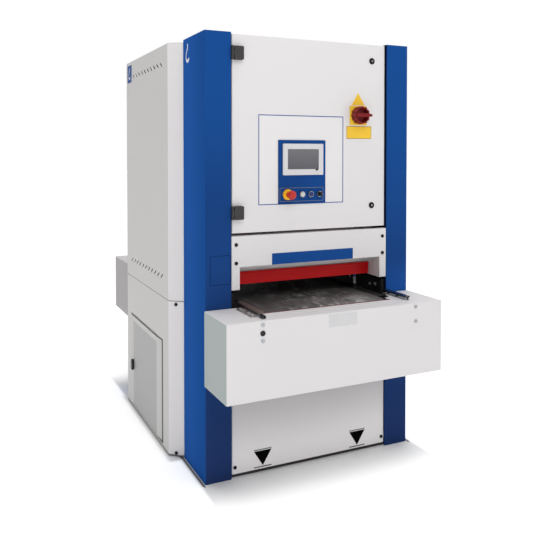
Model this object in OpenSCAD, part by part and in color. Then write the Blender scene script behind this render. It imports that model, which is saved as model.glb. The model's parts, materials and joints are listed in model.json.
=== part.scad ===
// Wide belt sander: cabinet machine with a lifting feed table and one abrasive belt head.
// Millimetres, +Z up, -Y is the infeed side, origin under the middle of the machine.

/* [Body] */
// height of the columns
machine_h = 2000; // [1850:10:2200]
// width of a column's front face
column_w = 126; // [110:1:150]
// depth of a front column
column_d = 300; // [260:5:360]
// how far each side cover stands out past the columns
flare = 61; // [45:1:90]
// length of the slanted corner of a side cover
corner_l = 50; // [40:1:70]
// length of a side cover's flat face
side_l = 827; // [790:1:1000]
// depth of a rear column
rear_column_d = 183; // [150:1:240]
// wall of a column
column_t = 4; // [3:0.5:6]
// thickness of the cover sheets
sheet = 2; // [1.5:0.1:3]
// outside radius of a bend in the sheets
bend = 4; // [3:0.5:6]

/* [Feed table] */
// width of the feed belt, which sets every width of the machine
belt_w = 650; // [560:5:900]
// height of the feed belt's top face
belt_z = 770; // [740:5:820]
// thickness of the feed belt
belt_t = 4; // [3:0.5:6]
// diameter of the two feed rollers
feed_roller_d = 92; // [80:1:100]
// reach of the front table box past the columns
front_reach = 264; // [250:1:320]
// reach of the rear table box past the columns
rear_reach = 345; // [280:1:420]
// height of the table boxes
box_h = 331; // [300:1:360]
// upward travel of the table
lift_up = 68; // [40:1:72]
// downward travel of the table
lift_down = 32; // [10:1:40]

/* [Sanding head] */
// distance of the head behind the columns' front face
head_y = 640; // [600:5:680]
// diameter of the contact roller
contact_d = 160; // [140:1:180]
// diameter of the tension roller
tension_d = 120; // [110:1:140]
// distance between the two roller axes
roller_centres = 630; // [580:5:700]
// height of the box beam that carries the tension roller
beam_h = 160; // [120:5:180]
// thickness of the abrasive belt
abrasive_t = 1.5; // [1:0.1:2.5]
// stroke that slackens the abrasive belt
tension_stroke = 15; // [8:1:25]
// diameter of the drive pulley on the contact roller
contact_pulley_d = 140; // [120:1:160]
// diameter of the motor pulley
motor_pulley_d = 110; // [90:1:130]
// diameter of the hold-down rollers
press_d = 56; // [44:1:64]

/* [Front] */
// gap round the electrics door
door_gap = 5; // [4:0.5:8]
// height of the infeed opening above the feed belt
throat_h = 183; // [160:1:200]
// height of the hood from its top edge to the belt
hood_rise = 322; // [300:1:340]
// height of the hood's leg ends above the feed belt
leg_rise = 80; // [74:1:90]
// width of a hood leg
leg_w = 39; // [34:1:42]
// height of the red safety flap
flap_h = 52; // [40:1:56]
// width of the operator panel's plate
panel_w = 249; // [230:1:260]
// height of the operator panel's plate
panel_h = 298; // [280:1:310]
// diameter of the emergency stop's head
estop_d = 42; // [36:1:48]
// travel of the emergency stop
estop_travel = 6; // [3:0.5:8]
// diameter of the main switch's dial
dial_d = 85; // [70:1:90]
// height of the main switch's dial
dial_h = 34; // [20:1:40]

/* [Services] */
// outside diameter of an extraction spigot
spigot_d = 150; // [120:1:180]
// length of an extraction spigot
spigot_l = 65; // [50:1:90]
// diameter of a floor anchor hole
anchor_d = 18; // [14:1:22]
// diameter of a lifting eye hole in a column top
eye_d = 21; // [17:1:26]

/* [Hidden] */
$fn = 48;
// radial play of a shaft in its bore
fit = 0.05;
// play between pieces that pass each other
play = 0.3;
in_x = belt_w / 2 + 89;
out_x = in_x + column_w;
side_x = out_x + flare;
box_x = out_x + 5;
throat_x = in_x - leg_w;
frame_x = in_x - 24;
y_c1 = column_d;
y_s0 = y_c1 + corner_l;
y_s1 = y_s0 + side_l;
y_r0 = y_s1 + corner_l;
y_b = y_r0 + rear_column_d;
rail_x0 = in_x - 104;
rail_x1 = in_x - 14;
rail_h = 110;
rail_t = 6;
pad_l = 120;
y_front = front_reach - (front_reach + y_b + rear_reach) / 2;
box_z1 = belt_z + 2;
box_z0 = box_z1 - box_h;
leg_z = belt_z + leg_rise;
throat_z = belt_z + throat_h;
hood_z = belt_z + hood_rise;
seam_z = belt_z - 16;
lower_top = box_z0 + lift_up + 13;
table_z0 = lower_top + lift_down + 8;
cover_top = machine_h - 13;
spigot_z = cover_top - 330;
door_z0 = hood_z + 12;
door_z1 = machine_h - 5;
door_x = in_x - door_gap;
panel_z0 = door_z0 + 123;
panel_x0 = -panel_w * 0.72;
button_z = panel_z0 + 45;
// feed rollers and belt
feed_r = feed_roller_d / 2;
belt_in = feed_r + play;
feed_z = belt_z - belt_t - belt_in;
belt_back = 119;
feed_y0 = belt_back + belt_in + belt_t - front_reach;
feed_y1 = y_b + rear_reach - belt_back - belt_in - belt_t;
roller_x = belt_w / 2 + 5;
frame_top = belt_z - belt_t - 0.2;
// sanding head
sand_z = belt_z + lift_up + 2;
contact_r = contact_d / 2;
tension_r = tension_d / 2;
segs = 40;
loop_in = 0.4;
contact_z = sand_z + abrasive_t + loop_in + contact_r;
tension_z = contact_z + roller_centres;
sill_z0 = belt_z - 35;
sill_z1 = sand_z - 5;
sill_t = 20;
sill_y0 = 14;
// the tension cylinder stands on the beam, under the yoke
yoke_h = 40;
yoke_z = tension_z - tension_r - 14;
cyl_h = 110;
cyl_r = 30;
cyl_cap = 76;
rod_r = 12;
rod_show = 33;
beam_z1 = yoke_z - yoke_h - tension_stroke - rod_show - cyl_h;
beam_z0 = beam_z1 - beam_h;
beam_y = 50;
beam_t = 8;
plate_x0 = in_x - 18;
plate_x1 = in_x - 2;
arm_x0 = roller_x + 6;
arm_x1 = arm_x0 + 22;
shaft_r = 20;
arm_r = 45;
boss_r = 58;
boss_l = 16;
head_front = 200;
head_back = 150;
head_over = 200;
yoke_r = 26;
// main motor and its belt drive
motor_back = 330;
motor_up = 380;
motor_y = head_y + motor_back;
motor_z = contact_z + motor_up;
motor_r = 100;
motor_length = 270;
cowl_r = 111;
cowl_length = 70;
flange_w = 230;
flange_t = 16;
fin_h = 10;
fin_t = 4;
fin_l = 210;
terminal_w = 110;
terminal_rise = 60;
motor_shaft_r = 14;
motor_shaft_in = 80;
pulley_x0 = plate_x1 + 10;
pulley_w = 44;
pulley_rim = 6;
drive_belt_t = 8;
drive_sunk = 5.6;
drive_side = 6.5;
// hold-down rollers
press_r = press_d / 2;
press_z = sand_z - 1 + press_r;
press_off = contact_r + press_r + 55;
press_shaft_r = 10;
press_lug = 26;
// safety flap, hung on a rod in the hood's cheeks
flap_z = belt_z + 138;
flap_y = 98;
flap_t = 3;
flap_lip = 6;
flap_pin_r = 4;
cheek_d = 150;
hood_d = 32;
outlet_d = 60;
// electrics bay and what is mounted in it
bay_y0 = 34;
bay_y1 = 262;
bay_lip = 40;
bay_z0 = door_z0 + 2;
bay_z1 = machine_h - 15;
gear_y = bay_y1 - 16;
gear_plate_x = in_x - 54;
gear_plate_z0 = door_z0 + 58;
gear_plate_z1 = machine_h - 70;
gear_plate_t = 3;
drive_w = 160;
drive_h = 260;
drive_d = 140;
contactor_w = 48;
contactor_h = 88;
contactor_d = 80;
contactor_pitch = 56;
contactor_step = 22;
strip_w = 340;
strip_pitch = 24;
strip_h = 50;
strip_d = 50;
supply_w = 140;
supply_h = 120;
supply_d = 90;
gear_gap = (gear_plate_z1 - gear_plate_z0 - drive_h - contactor_h - strip_h) / 4;
strip_z = gear_plate_z0 + gear_gap;
contactor_z = strip_z + strip_h + gear_gap;
drive_z = contactor_z + contactor_h + gear_gap;
gear_x0 = 60 - gear_plate_x;
supply_x = gear_x0 + 2 * drive_w + 90;
// side doors: openings, pans, hinge pins and latches
pan_d = 18;
jamb = 4;
pin_in = 13;
pin_up = 16;
pin_r = 4;
latch_r = 6;
low_y0 = y_s0 + 95;
low_y1 = y_s1 - 93;
low_z0 = 16;
low_z1 = seam_z - 212;
big_y0 = y_s0 + 80;
big_y1 = y_s1 - 77;
big_z0 = belt_z + 50;
big_z1 = cover_top - 60;
door_slope = 112;
door_drop = 8;
slot_w = 9;
slot_l = 45;
slot_lean = 59;
vent_in = 112;
high_vent_run = 547;
high_vent_drop = 87;
low_vent_run = 592;
low_vent_rise = 85;
// electrics door: pan, hinges, locks and controls
door_y = 10;
door_d = 22;
stiff_w = 24;
stiff_d = 16;
hinge_x = 2.5 - in_x;
hinge_y = -7;
hinge_r = 6.5;
hinge_pin_r = 3;
hinge_h = 61;
hinge_leaf = 45;
hinge_zs = [door_z0 + 93, door_z1 - 86];
lock_x = in_x - 81;
lock_zs = [door_z0 + 104, door_z1 - 80];
lock_r = 9.1;
isolator_x = in_x - 162;
isolator_z = door_z1 - 348;
button_r = 10.9;
collar_r = 14;
stem_r = 8;
panel_y = 7;
dial_shaft_r = 7.7;
ring_r = estop_d / 2 + 4;
screen_w = panel_w - 37;
screen_h = panel_h - 152;
glass_w = screen_w - 49;
glass_h = screen_h - 53;
// feed table: lift jacks, frame and guide bars
jack_x = in_x - 69;
jack_ys = [230, y_b - 230];
jack_w = 68;
jack_body = 89;
jack_tube = 141;
jack_tube_r = 27;
screw_r = 15;
screw_z0 = rail_h + lift_down + 30;
frame_t = 10;
rung_w = 60;
rung_h = 50;
rung_t = 6;
box_nose = belt_back - 5;
box_step = 46;
feed_shaft_r = 15;
gearbox_w = 72;
gearbox_l = 110;
gearbox_h = 88;
feed_motor_x = 42;
feed_motor_r = 50;
feed_motor_drop = 215;
bar_w = 29;
bar_t = 7;
left_bar_x = belt_w / 2 + 12;
left_bar_y0 = 86 - front_reach;
left_bar_l = 238;
left_bar_rise = 7;
stop_r = 7.5;
right_bar_x = in_x - 27;
right_bar_y0 = 70 - front_reach;
right_bar_l = 186;
right_bar_rise = 11;

base_frame();
side_sills();
front_columns();
rear_columns();
roof_panel();
left_upper_cover();
left_lower_cover();
right_upper_cover();
right_lower_cover();
rear_upper_panel();
lower_panels();
extraction_spigots();
electrics_box();
mounting_plate();
control_gear();
door_hinge_brackets();
infeed_hood();
head_frame();
main_motor();
tension_cylinder();
sanding_belt();
drive_belt();
lift_jacks();
front_door();
door_hinge_leaves();
door_collars();
control_plate();
screen_bezel();
screen_glass();
isolator_plate();
door_lock_upper();
door_lock_lower();
isolator_knob();
estop_button();
start_button();
reset_button();
mode_selector();
left_lower_door();
left_door_latch();
belt_door();
belt_door_latch();
safety_flap();
table_frame();
feed_belt();
roller_bearings();
feed_gearmotor();
front_box();
rear_box();
guide_rails();
edge_sensor();
lift_screws();
infeed_roller();
drive_roller();
contact_roller();
contact_pulley();
tension_yoke();
tension_roller();
motor_pulley();
infeed_press_roller();
outfeed_press_roller();

// Small helpers. Places are measured from the columns' front face.

module at_front() {
  translate([0, y_front, 0]) children();
}

module both() {
  children();
  mirror([1, 0, 0]) children();
}

module blk(x0, x1, y0, y1, z0, z1) {
  translate([x0, y0, z0]) cube([x1 - x0, y1 - y0, z1 - z0]);
}

module xrod(r, x0, x1, y, z) {
  translate([x0, y, z]) rotate([0, 90, 0]) cylinder(r = r, h = x1 - x0);
}

module yrod(r, y0, y1, x, z) {
  translate([x, y1, z]) rotate([90, 0, 0]) cylinder(r = r, h = y1 - y0);
}

module zrod(r, z0, z1, x, y) {
  translate([x, y, z0]) cylinder(r = r, h = z1 - z0);
}

// carries a flat outline, drawn as Y and Z, along X from x0 to x1
module across(x0, x1) {
  translate([x0, 0, 0]) rotate([90, 0, 90]) linear_extrude(x1 - x0) children();
}

// carries a flat outline, drawn as X and Z, along Y from y0 to y1
module along(y0, y1) {
  translate([0, y1, 0]) rotate([90, 0, 0]) linear_extrude(y1 - y0) children();
}

module round_rect(w, d, r) {
  translate([r, 0]) square([w - 2 * r, d]);
  translate([0, r]) square([w, d - 2 * r]);
  for (x = [r, w - r], y = [r, d - r]) translate([x, y]) circle(r = r);
}

// the same outline round its own middle
module mid_rect(w, d, r) {
  translate([-w / 2, -d / 2]) round_rect(w, d, r);
}

// upright stadium, w wide and h tall
module oval(w, h) {
  translate([-w / 2, (w - h) / 2]) square([w, h - w]);
  for (s = [-1, 1]) translate([0, s * (h - w) / 2]) circle(d = w);
}

// lug of half width r, its round end at the origin and its foot h below
module lug(r, h) {
  translate([-r, -h]) square([2 * r, h]);
  circle(r = r);
}

// solid section of a bent sheet: w wide, d deep, its two front corners rounded
module bent_section(w, d, r) {
  translate([-w / 2, r]) square([w, d - r]);
  translate([r - w / 2, 0]) square([w - 2 * r, d]);
  for (s = [-1, 1]) translate([s * (w / 2 - r), r]) circle(r = r);
}

// sheet bent back at its two sides, its front face at y = 0
module bent_sheet(w, h, d) {
  linear_extrude(h) difference() {
    bent_section(w, d, bend);
    translate([0, sheet]) bent_section(w - 2 * sheet, d, bend - sheet);
  }
}

// block with four rounded front edges, its front face at y = 0
module pan_block(w, h, d, r) intersection() {
  translate([0, 0, -h / 2]) linear_extrude(h) bent_section(w, d, r);
  across(-w / 2, w / 2) rotate(-90) bent_section(h, d, r);
}

// sheet bent back on all four sides
module bent_pan(w, h, d) difference() {
  pan_block(w, h, d, bend);
  translate([0, sheet, 0]) pan_block(w - 2 * sheet, h - 2 * sheet, d, bend - sheet);
}

// block with its front and top edges rounded, its front top edge on the X axis
module hood_block(w, h, d, r) intersection() {
  translate([0, 0, -h]) linear_extrude(h) bent_section(w, d, r);
  rotate([-90, 0, 0]) linear_extrude(d) bent_section(w, h, r);
  translate([0, 0, -h]) across(-w / 2, w / 2) rotate(-90) bent_section(2 * h, d, r);
}

// Fixed body

module base_frame() color([0.2, 0.22, 0.25]) at_front() {
  pad_ys = [y_s0 + pad_l / 2, y_s1 - pad_l / 2];
  difference() {
    union() {
      both() blk(rail_x0, rail_x1, 20, y_b - 20, 0, rail_h);
      for (y = [140, y_b / 2, y_b - 140]) blk(-rail_x0 - 3, rail_x0 + 3, y - 35, y + 35, 20, rail_h - 10);
      both() for (y = pad_ys) blk(rail_x1 - 3, rail_x1 + pad_l - 20, y - pad_l / 2, y + pad_l / 2, 0, 12);
      both() for (y = [y_c1 / 2, y_b - rear_column_d / 2])
        blk(rail_x1 - 3, in_x, y - 55, y + 55, 25, rail_h - 15);
    }
    both() blk(rail_x0 + rail_t, rail_x1 - rail_t, 0, y_b, rail_t, rail_h - rail_t);
    both() for (y = pad_ys) zrod(anchor_d / 2, -1, 13, in_x + 36, y);
  }
}

// the right sill carries the hold-down rollers' right bearings
module side_sills() color([0.15, 0.15, 0.16]) at_front() {
  blk(-in_x, sill_t - in_x, sill_y0, y_b - 12, sill_z0, sill_z1);
  difference() {
    union() {
      blk(in_x - sill_t, in_x, sill_y0, y_b - 12, sill_z0, sill_z1);
      for (s = [-1, 1]) translate([0, head_y + s * press_off, press_z])
        across(in_x - 18, in_x - 2) lug(press_lug, press_z - sill_z1 + 4);
    }
    for (s = [-1, 1]) xrod(press_shaft_r + fit, in_x - 25, in_x + 5, head_y + s * press_off, press_z);
  }
}

module column(depth) {
  difference() {
    linear_extrude(machine_h) round_rect(column_w, depth, 5);
    translate([column_t, column_t, -1])
      cube([column_w - 2 * column_t, depth - 2 * column_t, machine_h + 1 - column_t]);
    translate([column_w / 2, depth / 2, machine_h - 20]) cylinder(d = eye_d, h = 30);
  }
}

module front_columns() color([0.11, 0.29, 0.56]) at_front() both()
  translate([in_x, 0, 0]) column(column_d);

module rear_columns() color([0.11, 0.29, 0.56]) at_front() both()
  translate([in_x, y_r0, 0]) column(rear_column_d);

module roof_panel() color([0.88, 0.88, 0.87]) at_front() translate([0, 0, cover_top]) {
  half = [[in_x - 2, 36], [in_x - 2, y_c1 + 3], [out_x - 1, y_c1 + 3], [side_x - 1, y_s0 + 1],
    [side_x - 1, y_s1 - 1], [out_x - 1, y_r0 - 3], [in_x - 2, y_r0 - 3], [in_x - 2, y_b - 4]];
  mirrored = [for (i = [len(half) - 1 : -1 : 0]) [-half[i][0], half[i][1]]];
  linear_extrude(3) polygon(concat(half, mirrored));
}

// plan of a right-hand side cover, its faces set in by t
function cover_plan(t) = let (
    a = atan2(corner_l, flare),
    k = t * tan(a / 2),
    j = t * tan(45 - a / 2))
  [[out_x - 36 - (t > 0 ? 1 : 0), y_c1 + t], [out_x - k, y_c1 + t], [side_x - t, y_s0 + j],
   [side_x - t, y_s1 - j], [out_x - k, y_r0 - t], [out_x - 36 - (t > 0 ? 1 : 0), y_r0 - t]];

module cover_shell(z0, z1) {
  translate([0, 0, z0]) linear_extrude(z1 - z0) difference() {
    polygon(cover_plan(0));
    polygon(cover_plan(sheet));
  }
  for (z = [z0, z1 - sheet]) translate([0, 0, z]) linear_extrude(sheet) difference() {
    polygon(cover_plan(0));
    polygon(cover_plan(16));
  }
}

// a row of slanted slots through a side face; lean is the slots' angle
module vent_row(y0, y1, z, lean, count) {
  for (i = [0 : count - 1])
    translate([0, y0 + (y1 - y0) * i / (count - 1), z]) rotate([lean, 0, 0])
      across(side_x - 30, side_x + 10) oval(slot_w, slot_l);
}

module left_upper_cover() color([0.88, 0.88, 0.87]) at_front() mirror([1, 0, 0]) difference() {
  cover_shell(seam_z + 2, cover_top);
  vent_row(y_s0 + vent_in, y_s0 + vent_in + high_vent_run, cover_top - high_vent_drop, -slot_lean, 10);
  vent_row(y_s0 + vent_in, y_s0 + vent_in + low_vent_run, belt_z + low_vent_rise, slot_lean, 11);
}

// hinge tab with a pin hole, over or under a side door
module hinge_tab(y, z) difference() {
  blk(side_x - pan_d - 4, side_x - 1, y - 16, y + 14, z, z + 4);
  zrod(pin_r + fit, z - 1, z + 5, side_x - pin_in, y);
}

module left_lower_cover() color([0.88, 0.88, 0.87]) at_front() mirror([1, 0, 0]) {
  difference() {
    cover_shell(4, seam_z - 2);
    blk(side_x - 12, side_x + 1, low_y0, low_y1, low_z0, low_z1);
  }
  hinge_tab(low_y0 + pin_up, low_z0 - 6);
  hinge_tab(low_y0 + pin_up, low_z1 + 2);
}

module right_upper_cover() color([0.88, 0.88, 0.87]) at_front() {
  difference() {
    cover_shell(seam_z + 2, cover_top);
    blk(side_x - 12, side_x + 1, big_y0, big_y1, big_z0, big_z1);
  }
  hinge_tab(big_y1 - pin_up, big_z0 - 6);
  hinge_tab(big_y1 - pin_up, big_z1 + 2);
}

module right_lower_cover() color([0.88, 0.88, 0.87]) at_front() cover_shell(4, seam_z - 2);

module rear_upper_panel() color([0.88, 0.88, 0.87]) at_front() difference() {
  union() {
    translate([0, y_b, leg_z]) rotate(180) bent_sheet(2 * in_x, cover_top - leg_z, 30);
    both() blk(throat_x, throat_x + sheet, y_b - outlet_d, y_b - sheet / 2, leg_z, throat_z + 20);
    blk(-throat_x - 1, throat_x + 1, y_b - outlet_d, y_b - sheet / 2, throat_z, throat_z + sheet);
  }
  blk(-throat_x, throat_x, y_b - outlet_d - 1, y_b + 1, leg_z - 1, throat_z);
  both() yrod(spigot_d / 2 - sheet, y_b - 10, y_b + 10, in_x / 2, spigot_z);
}

// the front and rear panels under the table, each with four tabs to the columns
module lower_panels() color([0.88, 0.88, 0.87]) at_front() {
  w = in_x - 4;
  for (turn = [0, 1]) translate([0, turn * y_b, 0]) mirror([0, turn, 0]) {
    translate([0, 10, 16]) bent_sheet(2 * w, lower_top - 16, 22);
    both() for (z = [40, lower_top - 60]) blk(w - 1, in_x, 16, 30, z, z + 30);
  }
}

module extraction_spigots() color([0.6, 0.62, 0.63]) at_front() both() difference() {
  union() {
    yrod(spigot_d / 2, y_b, y_b + spigot_l, in_x / 2, spigot_z);
    yrod(spigot_d / 2 + 16, y_b, y_b + 3, in_x / 2, spigot_z);
  }
  yrod(spigot_d / 2 - sheet, y_b - 1, y_b + spigot_l + 1, in_x / 2, spigot_z);
}

module electrics_box() color([0.8, 0.8, 0.79]) at_front() difference() {
  blk(-in_x, in_x, bay_y0, bay_y1, bay_z0, bay_z1);
  blk(sheet - in_x, in_x - sheet, bay_y0 + sheet, bay_y1 - sheet, bay_z0 + sheet, bay_z1 - sheet);
  blk(bay_lip - in_x, in_x - bay_lip, bay_y0 - 4, bay_y0 + 6, bay_z0 + bay_lip - 4, bay_z1 - bay_lip + 4);
}

module mounting_plate() color([0.75, 0.76, 0.77]) at_front() {
  translate([-gear_plate_x, 0, gear_plate_z0]) along(gear_y, gear_y + gear_plate_t)
    round_rect(2 * gear_plate_x, gear_plate_z1 - gear_plate_z0, 6);
  for (sx = [-1, 1], z = [gear_plate_z0 + 22, gear_plate_z1 - 22])
    yrod(8, gear_y + gear_plate_t, bay_y1 - sheet, sx * (gear_plate_x - 20), z);
}

// frequency drive with a keypad recess and cooling slots
module drive(x) translate([x, gear_y - drive_d, drive_z]) difference() {
  cube([drive_w, drive_d, drive_h]);
  translate([20, -1, drive_h - 100]) cube([drive_w - 40, 5, 70]);
  for (i = [0 : 5]) translate([18 + 22 * i, 24, drive_h - 30]) cube([12, drive_d - 30, 31]);
}

// contactor, its front half stepped in above and below
module contactor(x) translate([0, gear_y - contactor_d, contactor_z]) across(x, x + contactor_w)
  polygon([[0, contactor_step], [contactor_step, contactor_step], [contactor_step, 0], [contactor_d, 0],
    [contactor_d, contactor_h], [contactor_step, contactor_h], [contactor_step, contactor_h - contactor_step],
    [0, contactor_h - contactor_step]]);

module control_gear() color([0.35, 0.36, 0.38]) at_front() {
  for (i = [0, 1]) drive(gear_x0 + i * (drive_w + 40));
  for (i = [0 : 6]) contactor(gear_x0 + i * contactor_pitch);
  blk(gear_x0, gear_x0 + strip_w, gear_y - 8, gear_y, strip_z + 8, strip_z + strip_h - 8);
  for (i = [0 : 13]) blk(gear_x0 + i * strip_pitch, gear_x0 + (i + 0.9) * strip_pitch, gear_y - strip_d,
    gear_y - 7, strip_z, strip_z + strip_h);
  translate([supply_x, 0, drive_z]) {
    blk(0, supply_w, gear_y - supply_d + 15, gear_y, 0, supply_h);
    translate([supply_w / 2, 0, supply_h / 2]) along(gear_y - supply_d, gear_y - 5)
      mid_rect(supply_w - 50, supply_h - 40, 12);
  }
}

module door_hinge_brackets() color([0.25, 0.25, 0.26]) at_front() for (z = hinge_zs) {
  for (s = [-1, 1]) {
    zrod(hinge_r, z + s * 21.5 - 9, z + s * 21.5 + 9, hinge_x, hinge_y);
    blk(-in_x, hinge_x + 0.5, hinge_y, 32, z + s * 21.5 - 9, z + s * 21.5 + 9);
  }
  blk(-in_x, 3 - in_x, 2, 32, z - hinge_h / 2, z + hinge_h / 2);
  zrod(hinge_pin_r, z - 30, z + 30, hinge_x, hinge_y);
}

module infeed_hood() color([0.9, 0.9, 0.89]) at_front() difference() {
  union() {
    translate([0, 0, (leg_z + hood_z) / 2]) bent_pan(2 * in_x, hood_z - leg_z, hood_d);
    both() blk(throat_x, throat_x + sheet, sheet * 0.7, cheek_d, leg_z + sheet / 2, hood_z - 4);
    blk(-throat_x - 1, throat_x + 1, sheet / 2, 18, throat_z, throat_z + sheet);
    blk(-throat_x - 1, throat_x + 1, flap_y + 10, flap_y + 10 + sheet, flap_z - 2, hood_z - 4);
  }
  blk(-throat_x, throat_x, -1, hood_d + 1, leg_z - 1, throat_z);
  both() xrod(flap_pin_r + fit, throat_x - 5, throat_x + 10, flap_y, flap_z);
}

// side plate on the left sill, box beam and hanging arm that hold the head's rollers
module head_frame() color([0.3, 0.32, 0.34]) at_front() difference() {
  union() {
    translate([0, head_y - head_front, sill_z1]) across(-plate_x1, -plate_x0)
      round_rect(motor_y + head_back - head_y + head_front, motor_z + head_over - sill_z1, 30);
    blk(-plate_x0 - 2, arm_x0 + 2, head_y - beam_y, head_y + beam_y, beam_z0, beam_z1);
    translate([0, head_y, contact_z]) across(arm_x0, arm_x1) union() {
      polygon([[-arm_r, 0], [arm_r, 0], [beam_y, beam_z0 - contact_z], [beam_y, beam_z1 - contact_z],
        [-beam_y, beam_z1 - contact_z], [-beam_y, beam_z0 - contact_z]]);
      circle(r = arm_r);
    }
    xrod(boss_r, -plate_x0 - 2, boss_l - plate_x0, head_y, contact_z);
  }
  blk(1 - plate_x0, arm_x0 - 6, head_y - beam_y + beam_t, head_y + beam_y - beam_t, beam_z0 + beam_t,
    beam_z1 - beam_t);
  xrod(shaft_r + fit, -in_x, in_x, head_y, contact_z);
  xrod(40, -in_x, 5 - plate_x0, motor_y, motor_z);
  for (s = [-1, 1]) xrod(press_shaft_r + fit, -in_x, 5 - plate_x0, head_y + s * press_off, press_z);
}

module main_motor() color([0.24, 0.3, 0.38]) at_front() translate([-plate_x0, motor_y, motor_z])
  difference() {
    union() {
      across(0, flange_t) mid_rect(flange_w, flange_w, 14);
      rotate([0, 90, 0]) rotate_extrude() polygon([[0, flange_t - 1], [motor_r, flange_t - 1],
        [motor_r, motor_length], [cowl_r, motor_length], [cowl_r, motor_length + cowl_length - 8],
        [cowl_r - 8, motor_length + cowl_length], [0, motor_length + cowl_length]]);
      for (a = [0 : 20 : 340]) rotate([a, 0, 0]) translate([flange_t + 24, -fin_t / 2, motor_r - 4])
        cube([fin_l, fin_t, fin_h + 4]);
      translate([flange_t + 74 + terminal_w / 2, 0, motor_r - 10]) linear_extrude(terminal_rise + 10)
        mid_rect(terminal_w, terminal_w, 8);
    }
    xrod(motor_shaft_r + fit, -1, motor_shaft_in + 10, 0, 0);
  }

// the cylinder's barrel is held between two square caps by four tie rods
module tension_cylinder() color([0.7, 0.72, 0.74]) at_front() translate([0, head_y, beam_z1]) difference() {
  union() {
    cylinder(r = cyl_r, h = cyl_h);
    for (z = [0, cyl_h - 18]) translate([0, 0, z]) linear_extrude(18) mid_rect(cyl_cap, cyl_cap, 8);
    for (sx = [-1, 1], sy = [-1, 1]) zrod(4, 1, cyl_h + 6, sx * (cyl_cap / 2 - 9), sy * (cyl_cap / 2 - 9));
  }
  zrod(rod_r + fit, 20, cyl_h + 1, 0, 0);
}

// outline of a band round two circles in the YZ plane, its inside r1 and r2
function arc(c, r, a0, a1) = [for (i = [0 : segs]) c + r / cos((a1 - a0) / segs / 2)
  * [cos(a0 + (a1 - a0) * i / segs), sin(a0 + (a1 - a0) * i / segs)]];
function band(c1, r1, c2, r2) = let (
    d = c2 - c1,
    phi = atan2(d[1], d[0]),
    al = acos((r1 - r2) / norm(d)))
  concat(arc(c2, r2, phi - al, phi + al), arc(c1, r1, phi + al, phi + 360 - al));

module band_loop(x0, x1, c1, r1, c2, r2, t) across(x0, x1) difference() {
  polygon(band(c1, r1 + t, c2, r2 + t));
  polygon(band(c1, r1, c2, r2));
}

module sanding_belt() color([0.45, 0.25, 0.15]) at_front()
  band_loop(-belt_w / 2, belt_w / 2, [head_y, contact_z], contact_r + loop_in,
    [head_y, tension_z], tension_r + loop_in, abrasive_t);

module drive_belt() color([0.08, 0.08, 0.08]) at_front()
  band_loop(drive_side - pulley_x0 - pulley_w, -pulley_x0 - drive_side,
    [head_y, contact_z], contact_pulley_d / 2 - drive_sunk,
    [motor_y, motor_z], motor_pulley_d / 2 - drive_sunk, drive_belt_t);

module lift_jacks() color([0.3, 0.31, 0.33]) at_front() both() for (y = jack_ys)
  translate([jack_x, y, rail_h]) difference() {
    union() {
      linear_extrude(12) mid_rect(jack_w + 16, jack_w + 32, 8);
      translate([0, 0, 11]) linear_extrude(jack_body) mid_rect(jack_w, jack_w + 12, 12);
      zrod(jack_tube_r, jack_body + 10, jack_body + jack_tube, 0, 0);
      zrod(jack_tube_r + 5, jack_body + jack_tube - 14, jack_body + jack_tube, 0, 0);
    }
    zrod(screw_r + play, 16, jack_body + jack_tube + 1, 0, 0);
  }

// Electrics door and its controls

function button_xs() = panel_x0 * [1, 1, 1, 1] + [47, panel_w - 128, panel_w - 82, panel_w - 36];
function screen_x() = panel_x0 + panel_w / 2 + 3;
function screen_z() = panel_z0 + panel_h - screen_h / 2 - 17;

// upright hat section welded inside the door
module door_stiffener() translate([door_x - 48, door_y + sheet / 2 + stiff_d, door_z0 + 40]) rotate(180)
  bent_sheet(stiff_w, door_z1 - door_z0 - 80, stiff_d);

module front_door() color([0.92, 0.92, 0.91]) at_front() difference() {
  union() {
    translate([0, door_y, (door_z0 + door_z1) / 2]) bent_pan(2 * door_x, door_z1 - door_z0, door_d);
    both() door_stiffener();
  }
  for (z = lock_zs) yrod(lock_r + 0.9, 5, 20, lock_x, z);
  for (x = button_xs()) yrod(button_r + 0.5, 5, 20, x, button_z);
  yrod(dial_shaft_r + play, 5, 20, isolator_x, isolator_z);
  translate([screen_x(), 0, screen_z()]) along(5, 20) square([screen_w - 28, screen_h - 30], center = true);
}

module door_hinge_leaves() color([0.25, 0.25, 0.26]) at_front() for (z = hinge_zs) difference() {
  union() {
    zrod(hinge_r, z - 12, z + 12, hinge_x, hinge_y);
    blk(hinge_x, hinge_x + 10, hinge_y - 4, hinge_y + 6, z - 12, z + 12);
    translate([hinge_x + 8 + hinge_leaf / 2, 0, z]) along(hinge_y - 5, door_y)
      mid_rect(hinge_leaf, hinge_h, 6);
  }
  zrod(hinge_pin_r + fit, z - 13, z + 13, hinge_x, hinge_y);
}

module door_collars() color([0.2, 0.2, 0.2]) at_front() {
  for (z = lock_zs) difference() {
    yrod(lock_r + 4.4, 6, door_y, lock_x, z);
    yrod(lock_r + play, 5, door_y + 1, lock_x, z);
  }
  for (i = [0 : 3]) difference() {
    yrod(i == 0 ? ring_r : collar_r, i == 0 ? -1 : -4, panel_y, button_xs()[i], button_z);
    yrod(button_r + play, -5, panel_y + 1, button_xs()[i], button_z);
  }
}

module control_plate() color([0.12, 0.3, 0.57]) at_front() difference() {
  translate([panel_x0, 0, panel_z0]) along(panel_y, door_y) round_rect(panel_w, panel_h, 3);
  for (x = button_xs()) yrod(button_r + 0.5, panel_y - 1, door_y + 1, x, button_z);
  translate([screen_x(), 0, screen_z()]) along(panel_y - 1, door_y + 1)
    square([screen_w - 28, screen_h - 30], center = true);
}

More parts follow.
